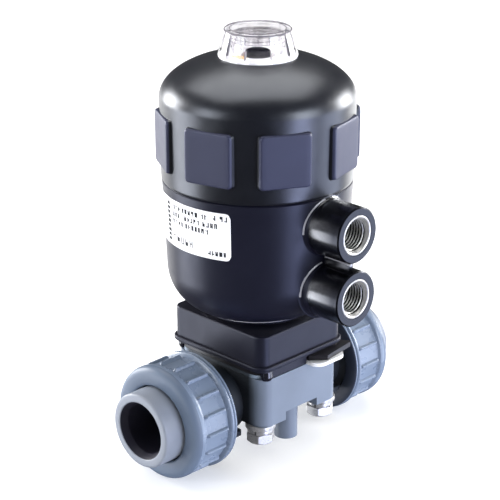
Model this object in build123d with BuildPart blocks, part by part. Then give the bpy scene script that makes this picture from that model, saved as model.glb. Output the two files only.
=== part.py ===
from build123d import *
from math import asin, cos, degrees, radians, sin
import os

# Pneumatic diaphragm valve with union ends, for a 15 mm nominal pipe.
# Millimetres. +X runs along the pipe, +Z up the spindle. The origin is on the
# spindle axis, in the bottom plane of the two mounting bosses under the body.

# Heights of the main levels
PIPE_Z = 18.5
LEG_BOTTOM_Z = PIPE_Z - 6.1
ARCH_TOP_Z = PIPE_Z - 2.6
BODY_TOP_Z = PIPE_Z + 14.2
BONNET_TOP_Z = PIPE_Z + 32.8
HOUSING_BOTTOM_Z = PIPE_Z + 35.2
FLOOR_Z = PIPE_Z + 44.0
SEAM_Z = PIPE_Z + 87.5
DOME_Z = PIPE_Z + 119.4
CAP_SEAT_Z = PIPE_Z + 134.4
CAP_TOP_Z = PIPE_Z + 146.0

# Pipe line
HALF_LENGTH = 64.0
FLOW_R = 7.5
SOCKET_R = 10.05
SOCKET_DEPTH = 16.0
SOCKET_MOUTH_R = 11.7
SOCKET_LEAD = 3.0
SOCKET_OUTER_R = 14.9
NECK_END_X = 44.0
NECK_R = 13.8
THREAD_R = 16.5
COLLAR_T = 5.0
NUT_REAR_X = 34.4
NUT_FRONT_X = 55.6
NUT_COLLAR_R = 22.8
NUT_WAIST_R = 21.7
NUT_FLANGE_R = 23.5
NUT_RIBS = 18

# Body and bonnet
BODY_HALF_X = 22.0
BODY_HALF_Y = 24.5
BODY_CORNER_R = 5.2
ARCH_HALF = 9.0
BELLY_R = 11.0
WEIR_HALF = 3.0
BOLT_X = 17.3
BOLT_Y = 18.6
BOLT_R = 3.0
SCREW_COUNT = 4
SCREW_TURN = 20.0
BOSS_SPACING = 32.0
BOSS_R = 4.7
INSERT_DEPTH = 9.0
MOUNT_HOLE_R = 2.5
BONNET_HALF_X = 23.15
BONNET_HALF_Y = 25.0
BONNET_CORNER_R = 4.5
LIP_OUT = 1.2
LIP_BOTTOM_Z = PIPE_Z + 18.5
LIP_TOP_Z = PIPE_Z + 20.4
APRON_HALF = 18.0
APRON_Z = PIPE_Z + 14.9
BONNET_CAVITY_R = 13.6

# Diaphragm, two layers bowed down on to the weir
BOWL_CENTRE_Z = BODY_TOP_Z + 4.9
BOWL_R = 18.2
FACE_T = 1.4
BACKING_T = 2.0
DIAPHRAGM_HALF = 21.9
DIAPHRAGM_CORNER_R = 4.0
LAYER_GAP = 0.08
TAB_LEFT_X = 2.4
TAB_RIGHT_X = 21.0
TAB_FRONT_Y = -30.2

# Stem and its stroke
STROKE = 5.5
SPINDLE_R = 4.0
ROD_R = 3.0
RUNNING = 0.05
GAP = 0.3
HOLE_SLACK = 0.2

# Actuator
CYLINDER_R = 31.5
HOUSING_TOP_R = 37.1
HOUSING_LOW_R = 35.6
HOUSING_BASE_R = 19.8
BOWL_TOP_Z = PIPE_Z + 53.0
COVER_R = 37.7
DOME_RISE = 17.2
PAD_COUNT = 8
PAD_START = 15.0
PAD_FACE = 38.3
PAD_CORNER_R = 2.0
PAD_WIDTH = 21.6
PAD_LOW_Z = PIPE_Z + 93.4
PAD_HIGH_Z = PIPE_Z + 115.6
PORT_R = 10.9
PORT_FACE_Y = -51.6
PORT_Z = (PIPE_Z + 50.4, PIPE_Z + 75.8)
PORT_NAMES = ("lower", "upper")
PORT_THREAD_R = 5.72
PORT_INSERT_R = 7.9
PORT_INSERT_L = 13.0
PORT_AIRWAY_R = 1.2

# Position indicator and clear cap
CAP_BASE_R = 15.35
CAP_TOP_R = 12.55
CAP_WALL = 2.4
CAP_SKIRT_R = 9.2

os.makedirs("parts", exist_ok=True)


def bowl_arc_end(radius, height):
    """Angle, from the horizontal, where the diaphragm bowl of this radius meets a height."""
    return degrees(asin((height - BOWL_CENTRE_Z) / radius))


def housing_wall_r(z):
    """Outer radius of the tapered housing wall at a height."""
    share = (z - BOWL_TOP_Z) / (SEAM_Z - BOWL_TOP_Z)
    return HOUSING_LOW_R + share * (HOUSING_TOP_R - HOUSING_LOW_R)


def inward_plane(y, z):
    """Upright plane at this y and z that faces from the port side towards the axis."""
    return Plane(origin=(0, y, z), x_dir=(1, 0, 0), z_dir=(0, 1, 0))


pipe_axis = Axis((0, 0, PIPE_Z), (1, 0, 0))
bolt_places = [(x, y) for x in (-BOLT_X, BOLT_X) for y in (-BOLT_Y, BOLT_Y)]
screw_ring_r = 16.2
boss_places = [(0, -BOSS_SPACING / 2), (0, BOSS_SPACING / 2)]

# ---------------------------------------------------------------- valve body
boss_top_z = PIPE_Z
foot_top_z = PIPE_Z - 8.4
foot_t = 2.0
foot_x = (24.0, NUT_REAR_X - 1.2)
foot_half = 15.5
foot_corner_r = 1.5
o_ring_section = 1.3
o_ring_mean = 11.5
groove_depth = 2.1
thread_lead = 0.8
thread_run = 1.0
insert_wall = 1.0

with BuildPart() as valve_body:
    with BuildSketch(Plane.XY.offset(LEG_BOTTOM_Z)):
        RectangleRounded(2 * BODY_HALF_X, 2 * BODY_HALF_Y, BODY_CORNER_R)
    extrude(amount=BODY_TOP_Z - LEG_BOTTOM_Z)
    with BuildSketch(Plane.XY.offset(LEG_BOTTOM_Z)):
        Rectangle(2 * ARCH_HALF, 2 * BODY_HALF_Y + 2)
    extrude(amount=ARCH_TOP_Z - LEG_BOTTOM_Z, mode=Mode.SUBTRACT)
    # Belly tube, necks and the threaded ends for the union nuts
    with BuildSketch(Plane.XZ) as line_profile:
        with BuildLine():
            Polyline(
                (-NECK_END_X, PIPE_Z),
                (-NECK_END_X, PIPE_Z + THREAD_R - thread_lead),
                (-NECK_END_X + thread_lead, PIPE_Z + THREAD_R),
                (-NUT_REAR_X - thread_run, PIPE_Z + THREAD_R),
                (-NUT_REAR_X, PIPE_Z + NECK_R),
                (-BODY_HALF_X + thread_run, PIPE_Z + NECK_R),
                (-BODY_HALF_X + thread_run, PIPE_Z + BELLY_R),
                (BODY_HALF_X - thread_run, PIPE_Z + BELLY_R),
                (BODY_HALF_X - thread_run, PIPE_Z + NECK_R),
                (NUT_REAR_X, PIPE_Z + NECK_R),
                (NUT_REAR_X + thread_run, PIPE_Z + THREAD_R),
                (NECK_END_X - thread_lead, PIPE_Z + THREAD_R),
                (NECK_END_X, PIPE_Z + THREAD_R - thread_lead),
                (NECK_END_X, PIPE_Z),
                close=True,
            )
        make_face()
    revolve(axis=pipe_axis)
    # Mounting bosses, and the foot plates under the necks
    with BuildSketch(Plane.XY):
        with Locations(*boss_places):
            Circle(BOSS_R)
    extrude(amount=boss_top_z)
    with BuildSketch(Plane.XY.offset(foot_top_z - foot_t)):
        with Locations((-sum(foot_x) / 2, 0), (sum(foot_x) / 2, 0)):
            RectangleRounded(foot_x[1] - foot_x[0], 2 * foot_half, foot_corner_r)
    extrude(amount=foot_t)
    # Flow passage: a straight bore from each end, stopped by the weir
    for side in (-1, 1):
        with BuildSketch(Plane(origin=(side * WEIR_HALF, 0, PIPE_Z), z_dir=(side, 0, 0))):
            Circle(FLOW_R)
        extrude(amount=NECK_END_X, mode=Mode.SUBTRACT)
        with BuildSketch(Plane(origin=(side * NECK_END_X, 0, PIPE_Z), z_dir=(side, 0, 0))):
            Circle(o_ring_mean + o_ring_section)
            Circle(o_ring_mean - o_ring_section, mode=Mode.SUBTRACT)
        extrude(amount=-groove_depth, mode=Mode.SUBTRACT)
    # Bowl that the diaphragm bows into
    with Locations((0, 0, BOWL_CENTRE_Z)):
        Sphere(BOWL_R, mode=Mode.SUBTRACT)
    # Bolt holes and blind holes for the mounting inserts
    with BuildSketch(Plane.XY.offset(LEG_BOTTOM_Z)):
        with Locations(*bolt_places):
            Circle(BOLT_R + HOLE_SLACK)
    extrude(amount=BODY_TOP_Z - LEG_BOTTOM_Z, mode=Mode.SUBTRACT)
    with BuildSketch(Plane.XY):
        with Locations(*boss_places):
            Circle(MOUNT_HOLE_R + insert_wall)
    extrude(amount=INSERT_DEPTH, mode=Mode.SUBTRACT)
valve_body.part.label = "valve_body"
export_step(valve_body.part, "parts/valve_body.step")

with BuildPart() as mounting_inserts:
    with BuildSketch(Plane.XY):
        with Locations(*boss_places):
            Circle(MOUNT_HOLE_R + insert_wall)
            Circle(MOUNT_HOLE_R, mode=Mode.SUBTRACT)
    extrude(amount=INSERT_DEPTH)
mounting_inserts.part.label = "mounting_inserts"
export_step(mounting_inserts.part, "parts/mounting_inserts.step")

# ------------------------------------------------------- union ends and nuts
collar_r = THREAD_R - 0.5
shoulder_x = NECK_END_X + LAYER_GAP + COLLAR_T
nut_thread_r = THREAD_R + GAP
nut_mouth_r = SOCKET_OUTER_R + 0.5
rib_start_x = NUT_REAR_X + 3.4
rib_end_x = NUT_FRONT_X - 5.6
rib_width = 1.5
nose_drop = 2.4
nose_r = 2.6
nut_edge = 0.3
socket_edge = 0.6
ring_section_r = 1.02
rib_top_r = NUT_COLLAR_R + 0.1

for side_name, side in (("inlet", -1), ("outlet", 1)):
    with BuildPart() as union_oring:
        with BuildSketch(Plane.XZ):
            with Locations((side * (NECK_END_X - groove_depth / 2), PIPE_Z + o_ring_mean)):
                Circle(ring_section_r)
        revolve(axis=pipe_axis)
    union_oring.part.label = f"union_oring_{side_name}"
    export_step(union_oring.part, f"parts/union_oring_{side_name}.step")

    with BuildPart() as union_end:
        with BuildSketch(Plane.XZ):
            with BuildLine():
                Polyline(
                    (side * (NECK_END_X + LAYER_GAP), PIPE_Z + FLOW_R),
                    (side * (NECK_END_X + LAYER_GAP), PIPE_Z + collar_r),
                    (side * shoulder_x, PIPE_Z + collar_r),
                    (side * shoulder_x, PIPE_Z + SOCKET_OUTER_R),
                    (side * (HALF_LENGTH - socket_edge), PIPE_Z + SOCKET_OUTER_R),
                    (side * HALF_LENGTH, PIPE_Z + SOCKET_OUTER_R - socket_edge),
                    (side * HALF_LENGTH, PIPE_Z + SOCKET_MOUTH_R),
                    (side * (HALF_LENGTH - SOCKET_LEAD), PIPE_Z + SOCKET_R),
                    (side * (HALF_LENGTH - SOCKET_DEPTH), PIPE_Z + SOCKET_R),
                    (side * (HALF_LENGTH - SOCKET_DEPTH), PIPE_Z + FLOW_R),
                    close=True,
                )
            make_face()
        revolve(axis=pipe_axis)
    union_end.part.label = f"union_end_{side_name}"
    export_step(union_end.part, f"parts/union_end_{side_name}.step")

    with BuildPart() as union_nut:
        with BuildSketch(Plane.XZ):
            with BuildLine():
                Polyline(
                    (side * NUT_REAR_X, PIPE_Z + nut_thread_r),
                    (side * NUT_REAR_X, PIPE_Z + NUT_FLANGE_R - 0.4),
                    (side * (NUT_REAR_X + 0.4), PIPE_Z + NUT_FLANGE_R),
                    (side * (NUT_REAR_X + 1.2), PIPE_Z + NUT_FLANGE_R),
                    (side * (NUT_REAR_X + 1.5), PIPE_Z + NUT_FLANGE_R - 0.5),
                    (side * (NUT_REAR_X + 1.8), PIPE_Z + NUT_FLANGE_R),
                    (side * (NUT_REAR_X + 2.8), PIPE_Z + NUT_FLANGE_R - 0.2),
                    (side * rib_start_x, PIPE_Z + NUT_WAIST_R),
                    (side * rib_end_x, PIPE_Z + NUT_WAIST_R - 0.5),
                    (side * (rib_end_x + 0.7), PIPE_Z + NUT_COLLAR_R - 0.3),
                    (side * (NUT_FRONT_X - nose_drop), PIPE_Z + NUT_COLLAR_R),
                )
                nose = RadiusArc(
                    (side * (NUT_FRONT_X - nose_drop), PIPE_Z + NUT_COLLAR_R),
                    (side * NUT_FRONT_X, PIPE_Z + NUT_COLLAR_R - nose_drop),
                    -side * nose_r,
                )
                Polyline(
                    nose @ 1,
                    (side * NUT_FRONT_X, PIPE_Z + nut_mouth_r + nut_edge),
                    (side * (NUT_FRONT_X - nut_edge), PIPE_Z + nut_mouth_r),
                    (side * (shoulder_x + GAP), PIPE_Z + nut_mouth_r),
                    (side * (shoulder_x + GAP), PIPE_Z + nut_thread_r),
                    (side * NUT_REAR_X, PIPE_Z + nut_thread_r),
                )
            make_face()
        revolve(axis=pipe_axis)
        with Locations(Plane(origin=(side * rib_start_x - side * 0.6, 0, PIPE_Z), z_dir=(side, 0, 0))):
            with PolarLocations(NUT_WAIST_R - 0.4, NUT_RIBS):
                Box(
                    2 * (rib_top_r - NUT_WAIST_R) - 0.2,
                    rib_width,
                    rib_end_x - rib_start_x + 1.0,
                    align=(Align.CENTER, Align.CENTER, Align.MIN),
                )
    union_nut.part.label = f"union_nut_{side_name}"
    export_step(union_nut.part, f"parts/union_nut_{side_name}.step")

# ----------------------------------------------------------------- diaphragm
face_top_z = BODY_TOP_Z + FACE_T
backing_bottom_z = face_top_z + LAYER_GAP
backing_top_z = backing_bottom_z + BACKING_T
face_outer_r = BOWL_R - LAYER_GAP
face_inner_r = face_outer_r - FACE_T
backing_outer_r = face_inner_r - LAYER_GAP
backing_inner_r = backing_outer_r - BACKING_T
tab_root_y = -DIAPHRAGM_HALF + 1.0
face_tab_front_y = TAB_FRONT_Y - 0.8
face_tab_corner_r = 4.5
rim_bite = 1.9
face_tab_right_x = TAB_RIGHT_X - 1.2
# The backing's tab: cut off slantwise at the left, and drawn out to a point at the right
tab_points = [
    (TAB_LEFT_X + 0.8, tab_root_y),
    (TAB_LEFT_X + 0.8, -25.2),
    (TAB_LEFT_X + 6.4, TAB_FRONT_Y),
    (TAB_RIGHT_X + 4.0, TAB_FRONT_Y + 2.5),
    (TAB_RIGHT_X + 4.6, TAB_FRONT_Y + 3.6),
    (TAB_RIGHT_X + 2.6, -23.4),
    (TAB_RIGHT_X + 0.6, tab_root_y),
]

with BuildPart() as diaphragm_face:
    with BuildSketch(Plane.XY.offset(BODY_TOP_Z)):
        RectangleRounded(2 * DIAPHRAGM_HALF, 2 * DIAPHRAGM_HALF, DIAPHRAGM_CORNER_R)
        with Locations(((TAB_LEFT_X + face_tab_right_x) / 2, face_tab_front_y)):
            RectangleRounded(
                face_tab_right_x - TAB_LEFT_X,
                2 * (tab_root_y - face_tab_front_y),
                face_tab_corner_r,
                align=(Align.CENTER, Align.MIN),
            )
        Circle(BOWL_R - rim_bite, mode=Mode.SUBTRACT)
        with Locations(*bolt_places):
            Circle(BOLT_R + HOLE_SLACK, mode=Mode.SUBTRACT)
    extrude(amount=FACE_T)
    with BuildSketch(Plane.XZ):
        with BuildLine():
            outer_sweep = 90 + bowl_arc_end(face_outer_r, BODY_TOP_Z)
            inner_sweep = 90 + bowl_arc_end(face_inner_r, face_top_z)
            outer = CenterArc((0, BOWL_CENTRE_Z), face_outer_r, -90, outer_sweep)
            inner = CenterArc((0, BOWL_CENTRE_Z), face_inner_r, -90, inner_sweep)
            Polyline(outer @ 1, ((outer @ 1).X, face_top_z), inner @ 1)
            Line(outer @ 0, inner @ 0)
        make_face()
    revolve(axis=Axis.Z)
diaphragm_face.part.label = "diaphragm_face"
export_step(diaphragm_face.part, "parts/diaphragm_face.step")

with BuildPart() as diaphragm_backing:
    with BuildSketch(Plane.XY.offset(backing_bottom_z)):
        RectangleRounded(2 * DIAPHRAGM_HALF, 2 * DIAPHRAGM_HALF, DIAPHRAGM_CORNER_R)
        with BuildLine():
            Polyline(*tab_points, close=True)
        make_face()
        Circle(backing_outer_r - rim_bite, mode=Mode.SUBTRACT)
        with Locations(*bolt_places):
            Circle(BOLT_R + HOLE_SLACK, mode=Mode.SUBTRACT)
    extrude(amount=BACKING_T)
    with BuildSketch(Plane.XZ):
        with BuildLine():
            outer_sweep = 90 + bowl_arc_end(backing_outer_r, backing_bottom_z)
            inner_sweep = 90 + bowl_arc_end(backing_inner_r, backing_top_z)
            outer = CenterArc((0, BOWL_CENTRE_Z), backing_outer_r, -90, outer_sweep)
            inner = CenterArc((0, BOWL_CENTRE_Z), backing_inner_r, -90, inner_sweep)
            Polyline(outer @ 1, ((outer @ 1).X, backing_top_z), inner @ 1)
            Line(outer @ 0, inner @ 0)
        make_face()
    revolve(axis=Axis.Z)
diaphragm_backing.part.label = "diaphragm_backing"
export_step(diaphragm_backing.part, "parts/diaphragm_backing.step")

# -------------------------------------------------------------------- bonnet
pocket_top_z = backing_top_z + LAYER_GAP
compressor_top_z = BOWL_CENTRE_Z + 1.2
cavity_top_z = compressor_top_z + STROKE + 1.6
insert_r = 4.2
insert_top_z = pocket_top_z + 9.0
screw_head_r = 4.0
screw_head_h = 4.0
screw_r = 2.5
screw_tip_z = FLOOR_Z - 2.0
lip_x = BONNET_HALF_X + LIP_OUT
lip_y = BONNET_HALF_Y + LIP_OUT
bolt_tip_z = insert_top_z - 1.0
lip_edge_r = 0.6
bonnet_edge_r = 0.7
socket_r = 2.3
socket_floor_t = 1.6
tab_slack = 0.7
apron_back_y = DIAPHRAGM_HALF + HOLE_SLACK

with BuildPart() as bonnet:
    with BuildSketch(Plane.XY.offset(LIP_BOTTOM_Z)):
        RectangleRounded(2 * lip_x, 2 * lip_y, BONNET_CORNER_R + LIP_OUT)
    extrude(amount=LIP_TOP_Z - LIP_BOTTOM_Z)
    fillet(bonnet.edges().group_by(Axis.Z)[-1], radius=lip_edge_r)
    fillet(bonnet.edges().group_by(Axis.Z)[0], radius=lip_edge_r)
    with BuildSketch(Plane.XY.offset(pocket_top_z)):
        RectangleRounded(2 * BONNET_HALF_X, 2 * BONNET_HALF_Y, BONNET_CORNER_R)
    extrude(amount=BONNET_TOP_Z - pocket_top_z)
    fillet(bonnet.edges().group_by(Axis.Z)[-1], radius=bonnet_edge_r)
    # Aprons in front of and behind the diaphragm, with the way out for its tab
    with BuildSketch(Plane.XY.offset(APRON_Z)):
        Rectangle(2 * APRON_HALF, 2 * BONNET_HALF_Y)
        Rectangle(2 * APRON_HALF, 2 * apron_back_y, mode=Mode.SUBTRACT)
        with Locations(((TAB_LEFT_X + TAB_RIGHT_X) / 2 + 0.3, -BONNET_HALF_Y)):
            Rectangle(
                TAB_RIGHT_X - TAB_LEFT_X + 2 * tab_slack,
                2 * (BONNET_HALF_Y - apron_back_y) + 1.0,
                mode=Mode.SUBTRACT,
            )
    extrude(amount=pocket_top_z - APRON_Z)
    # The compressor's room, the spindle's bore and the screw holes
    with BuildSketch(Plane.XY.offset(pocket_top_z)):
        Circle(BONNET_CAVITY_R)
    extrude(amount=cavity_top_z - pocket_top_z, mode=Mode.SUBTRACT)
    with BuildSketch(Plane.XY.offset(cavity_top_z)):
        Circle(SPINDLE_R + GAP)
    extrude(amount=BONNET_TOP_Z - cavity_top_z, mode=Mode.SUBTRACT)
    with BuildSketch(Plane.XY.offset(pocket_top_z)):
        with Locations(*bolt_places):
            Circle(insert_r)
    extrude(amount=insert_top_z - pocket_top_z, mode=Mode.SUBTRACT)
    with BuildSketch(Plane.XY.offset(pocket_top_z)):
        with PolarLocations(screw_ring_r, SCREW_COUNT, start_angle=SCREW_TURN):
            Circle(screw_head_r + HOLE_SLACK)
    extrude(amount=screw_head_h, mode=Mode.SUBTRACT)
    with BuildSketch(Plane.XY.offset(pocket_top_z)):
        with PolarLocations(screw_ring_r, SCREW_COUNT, start_angle=SCREW_TURN):
            Circle(screw_r + 0.1)
    extrude(amount=BONNET_TOP_Z - pocket_top_z, mode=Mode.SUBTRACT)
bonnet.part.label = "bonnet"
export_step(bonnet.part, "parts/bonnet.step")

with BuildPart() as bonnet_inserts:
    with BuildSketch(Plane.XY.offset(pocket_top_z)):
        with Locations(*bolt_places):
            Circle(insert_r)
            Circle(BOLT_R + RUNNING, mode=Mode.SUBTRACT)
    extrude(amount=insert_top_z - pocket_top_z)
bonnet_inserts.part.label = "bonnet_inserts"
export_step(bonnet_inserts.part, "parts/bonnet_inserts.step")

with BuildPart() as bonnet_screws:
    with BuildSketch(Plane.XY.offset(pocket_top_z)):
        with PolarLocations(screw_ring_r, SCREW_COUNT, start_angle=SCREW_TURN):
            Circle(screw_head_r)
            RegularPolygon(socket_r, 6, mode=Mode.SUBTRACT)
    extrude(amount=screw_head_h)
    with BuildSketch(Plane.XY.offset(pocket_top_z + screw_head_h - socket_floor_t)):
        with PolarLocations(screw_ring_r, SCREW_COUNT, start_angle=SCREW_TURN):
            Circle(screw_r)
    extrude(amount=screw_tip_z - pocket_top_z - screw_head_h + socket_floor_t)
bonnet_screws.part.label = "bonnet_screws"
export_step(bonnet_screws.part, "parts/bonnet_screws.step")

# ------------------------------------------------- bolts that clamp the body
washer_r = 6.0
washer_t = 1.8
lock_washer_r = 5.3
lock_washer_split = 0.6
split_length = lock_washer_r - BOLT_R + 1.0
lock_washer_t = 2.0
head_h = 4.0
head_corner_r = 5.77
head_edge = 0.5
washer_bottom_z = LEG_BOTTOM_Z - washer_t
lock_bottom_z = washer_bottom_z - lock_washer_t
head_bottom_z = lock_bottom_z - head_h

with BuildPart() as body_washers:
    with BuildSketch(Plane.XY.offset(washer_bottom_z)):
        with Locations(*bolt_places):
            Circle(washer_r)
            Circle(BOLT_R + HOLE_SLACK, mode=Mode.SUBTRACT)
    extrude(amount=washer_t)
body_washers.part.label = "body_washers"
export_step(body_washers.part, "parts/body_washers.step")

with BuildPart() as lock_washers:
    with BuildSketch(Plane.XY.offset(lock_bottom_z)):
        with Locations(*bolt_places):
            Circle(lock_washer_r)
            Circle(BOLT_R + 0.1, mode=Mode.SUBTRACT)
            with Locations(((BOLT_R + lock_washer_r) / 2, 0)):
                Rectangle(split_length, lock_washer_split, rotation=20, mode=Mode.SUBTRACT)
    extrude(amount=lock_washer_t)
lock_washers.part.label = "lock_washers"
export_step(lock_washers.part, "parts/lock_washers.step")

with BuildPart() as body_bolts:
    with BuildSketch(Plane.XY.offset(head_bottom_z)):
        with Locations(*bolt_places):
            RegularPolygon(head_corner_r, 6, rotation=35)
    extrude(amount=head_h)
    chamfer(body_bolts.faces().sort_by(Axis.Z)[:4].edges(), length=head_edge)
    with BuildSketch(Plane.XY.offset(lock_bottom_z)):
        with Locations(*bolt_places):
            Circle(BOLT_R)
    extrude(amount=bolt_tip_z - lock_bottom_z)
body_bolts.part.label = "body_bolts"
export_step(body_bolts.part, "parts/body_bolts.step")

# --------------------------------------------------------- actuator housing
ring_r = 21.8
ring_neck_r = 20.0
ring_neck_h = 0.9
hub_bush_r = 6.0
hub_seal_r = 6.5
seal_top_z = HOUSING_BOTTOM_Z + 2.6
bush_bottom_z = seal_top_z + 0.6
rebate_r = 34.5
rebate_z = SEAM_Z - 4.2
boss_start_y = -rebate_r - HOLE_SLACK
rim_edge = 0.5
ring_bore_r = 8.0
web_t = 2.4
web_h = 5.0
web_set_back = 3.0
mouth_lead = 0.7
airway_shifts = (-4.2, 4.2)

with BuildPart() as seat_ring:
    with BuildSketch(Plane.XY.offset(BONNET_TOP_Z)):
        Circle(ring_neck_r)
    extrude(amount=ring_neck_h)
    with BuildSketch(Plane.XY.offset(BONNET_TOP_Z + ring_neck_h)):
        Circle(ring_r)
    extrude(amount=HOUSING_BOTTOM_Z - BONNET_TOP_Z - ring_neck_h)
    fillet(seat_ring.edges().sort_by(SortBy.LENGTH)[-2:], radius=rim_edge)
    with BuildSketch(Plane.XY.offset(BONNET_TOP_Z)):
        Circle(ring_bore_r)
        with PolarLocations(screw_ring_r, SCREW_COUNT, start_angle=SCREW_TURN):
            Circle(screw_r + 0.1)
    extrude(amount=HOUSING_BOTTOM_Z - BONNET_TOP_Z, mode=Mode.SUBTRACT)
seat_ring.part.label = "seat_ring"
export_step(seat_ring.part, "parts/seat_ring.step")

with BuildPart() as actuator_housing:
    with BuildSketch(Plane.XZ):
        with BuildLine():
            bowl = EllipticalCenterArc(
                (HOUSING_BASE_R, BOWL_TOP_Z),
                HOUSING_LOW_R - HOUSING_BASE_R,
                BOWL_TOP_Z - HOUSING_BOTTOM_Z,
                start_angle=270,
                arc_size=90,
            )
            Polyline(
                bowl @ 1,
                (HOUSING_TOP_R, SEAM_Z - rim_edge),
                (HOUSING_TOP_R - rim_edge, SEAM_Z),
                (rebate_r, SEAM_Z),
                (rebate_r, rebate_z),
                (CYLINDER_R, rebate_z),
                (CYLINDER_R, FLOOR_Z),
                (hub_bush_r, FLOOR_Z),
                (hub_bush_r, bush_bottom_z),
                (SPINDLE_R + GAP, bush_bottom_z),
                (SPINDLE_R + GAP, seal_top_z),
                (hub_seal_r, seal_top_z),
                (hub_seal_r, HOUSING_BOTTOM_Z),
                bowl @ 0,
            )
        make_face()
    revolve(axis=Axis.Z)
    # Pilot port bosses, with a web between them
    for port_z in PORT_Z:
        with BuildSketch(Plane(origin=(0, boss_start_y, port_z), x_dir=(1, 0, 0), z_dir=(0, -1, 0))):
            Circle(PORT_R)
        extrude(amount=boss_start_y - PORT_FACE_Y)
    boss_rims = actuator_housing.edges().group_by(Axis.Y)[0]
    chamfer(boss_rims, length=rim_edge)
    with Locations((0, (boss_start_y + PORT_FACE_Y + web_set_back) / 2, sum(PORT_Z) / 2)):
        Box(web_t, boss_start_y - PORT_FACE_Y - web_set_back, web_h)
    for port_z, airway_shift in zip(PORT_Z, airway_shifts):
        with BuildSketch(inward_plane(PORT_FACE_Y, port_z)):
            Circle(PORT_INSERT_R)
        extrude(amount=PORT_INSERT_L, mode=Mode.SUBTRACT)
        with BuildSketch(inward_plane(PORT_FACE_Y, port_z + airway_shift)):
            Circle(PORT_AIRWAY_R)
        extrude(amount=-PORT_FACE_Y - CYLINDER_R + 2.0, mode=Mode.SUBTRACT)
    with BuildSketch(Plane.XY.offset(HOUSING_BOTTOM_Z)):
        with PolarLocations(screw_ring_r, SCREW_COUNT, start_angle=SCREW_TURN):
            Circle(screw_r + RUNNING)
    extrude(amount=screw_tip_z - HOUSING_BOTTOM_Z + 0.5, mode=Mode.SUBTRACT)
actuator_housing.part.label = "actuator_housing"
export_step(actuator_housing.part, "parts/actuator_housing.step")

for port_name, port_z in zip(PORT_NAMES, PORT_Z):
    with BuildPart() as pilot_insert:
        with BuildSketch(inward_plane(PORT_FACE_Y, port_z)):
            Circle(PORT_INSERT_R)
            Circle(PORT_THREAD_R, mode=Mode.SUBTRACT)
        extrude(amount=PORT_INSERT_L)
        mouth = pilot_insert.edges().filter_by(GeomType.CIRCLE).sort_by(Axis.Y)[:2]
        chamfer(mouth.sort_by(SortBy.RADIUS)[0], length=mouth_lead)
    pilot_insert.part.label = f"pilot_insert_{port_name}"
    export_step(pilot_insert.part, f"parts/pilot_insert_{port_name}.step")

with BuildPart() as spindle_seal:
    with BuildSketch(Plane.XY.offset(HOUSING_BOTTOM_Z)):
        Circle(hub_seal_r)
        Circle(SPINDLE_R + RUNNING, mode=Mode.SUBTRACT)
    extrude(amount=seal_top_z - HOUSING_BOTTOM_Z - HOLE_SLACK)
spindle_seal.part.label = "spindle_seal"
export_step(spindle_seal.part, "parts/spindle_seal.step")

with BuildPart() as spindle_bush:
    with BuildSketch(Plane.XY.offset(bush_bottom_z)):
        Circle(hub_bush_r)
        Circle(SPINDLE_R + RUNNING, mode=Mode.SUBTRACT)
    extrude(amount=FLOOR_Z - bush_bottom_z - GAP)
spindle_bush.part.label = "spindle_bush"
export_step(spindle_bush.part, "parts/spindle_bush.step")

# ---------------------------------------------------------------- stem parts
piston_bottom_z = FLOOR_Z + 0.4
web_under_z = FLOOR_Z + 3.0
web_over_z = FLOOR_Z + 8.0
rim_bottom_z = FLOOR_Z + 5.0
rim_top_z = FLOOR_Z + 16.0
piston_r = CYLINDER_R - GAP
rim_inner_r = 27.2
seal_inner_r = 29.1
seal_low_z = FLOOR_Z + 8.0
seal_high_z = seal_low_z + 2.6
guide_low_z = FLOOR_Z + 12.2
guide_high_z = guide_low_z + 2.4
guide_inner_r = 29.9
hub_top_z = FLOOR_Z + 12.0
hub_low_r = 10.0
hub_high_r = 8.0
ring_side_slack = 0.1
rod_top_z = PIPE_Z + 132.0
compressor_r = 11.5
compressor_neck_r = 7.5
compressor_slope = 2.4
compressor_bowl_r = backing_inner_r - 0.1
pin_z = BOWL_CENTRE_Z - 4.6

with BuildPart() as piston:
    with BuildSketch(Plane.XZ):
        with BuildLine():
            Polyline(
                (SPINDLE_R, piston_bottom_z),
                (hub_low_r, piston_bottom_z),
                (hub_low_r, web_under_z),
                (rim_inner_r, web_under_z),
                (piston_r, rim_bottom_z),
                (piston_r, seal_low_z),
                (seal_inner_r, seal_low_z),
                (seal_inner_r, seal_high_z),
                (piston_r, seal_high_z),
                (piston_r, guide_low_z),
                (guide_inner_r, guide_low_z),
                (guide_inner_r, guide_high_z),
                (piston_r, guide_high_z),
                (piston_r, rim_top_z),
                (rim_inner_r, rim_top_z),
                (rim_inner_r, web_over_z),
                (hub_high_r, web_over_z),
                (hub_high_r, hub_top_z),
                (SPINDLE_R, hub_top_z),
                close=True,
            )
        make_face()
    revolve(axis=Axis.Z)
piston.part.label = "piston"
export_step(piston.part, "parts/piston.step")

with BuildPart() as piston_seal:
    with BuildSketch(Plane.XY.offset(seal_low_z + ring_side_slack)):
        Circle(CYLINDER_R - RUNNING)
        Circle(seal_inner_r, mode=Mode.SUBTRACT)
    extrude(amount=seal_high_z - seal_low_z - 2 * ring_side_slack)
piston_seal.part.label = "piston_seal"
export_step(piston_seal.part, "parts/piston_seal.step")

with BuildPart() as piston_guide_ring:
    with BuildSketch(Plane.XY.offset(guide_low_z + ring_side_slack)):
        Circle(CYLINDER_R - RUNNING)
        Circle(guide_inner_r, mode=Mode.SUBTRACT)
    extrude(amount=guide_high_z - guide_low_z - 2 * ring_side_slack)
piston_guide_ring.part.label = "piston_guide_ring"
export_step(piston_guide_ring.part, "parts/piston_guide_ring.step")

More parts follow.
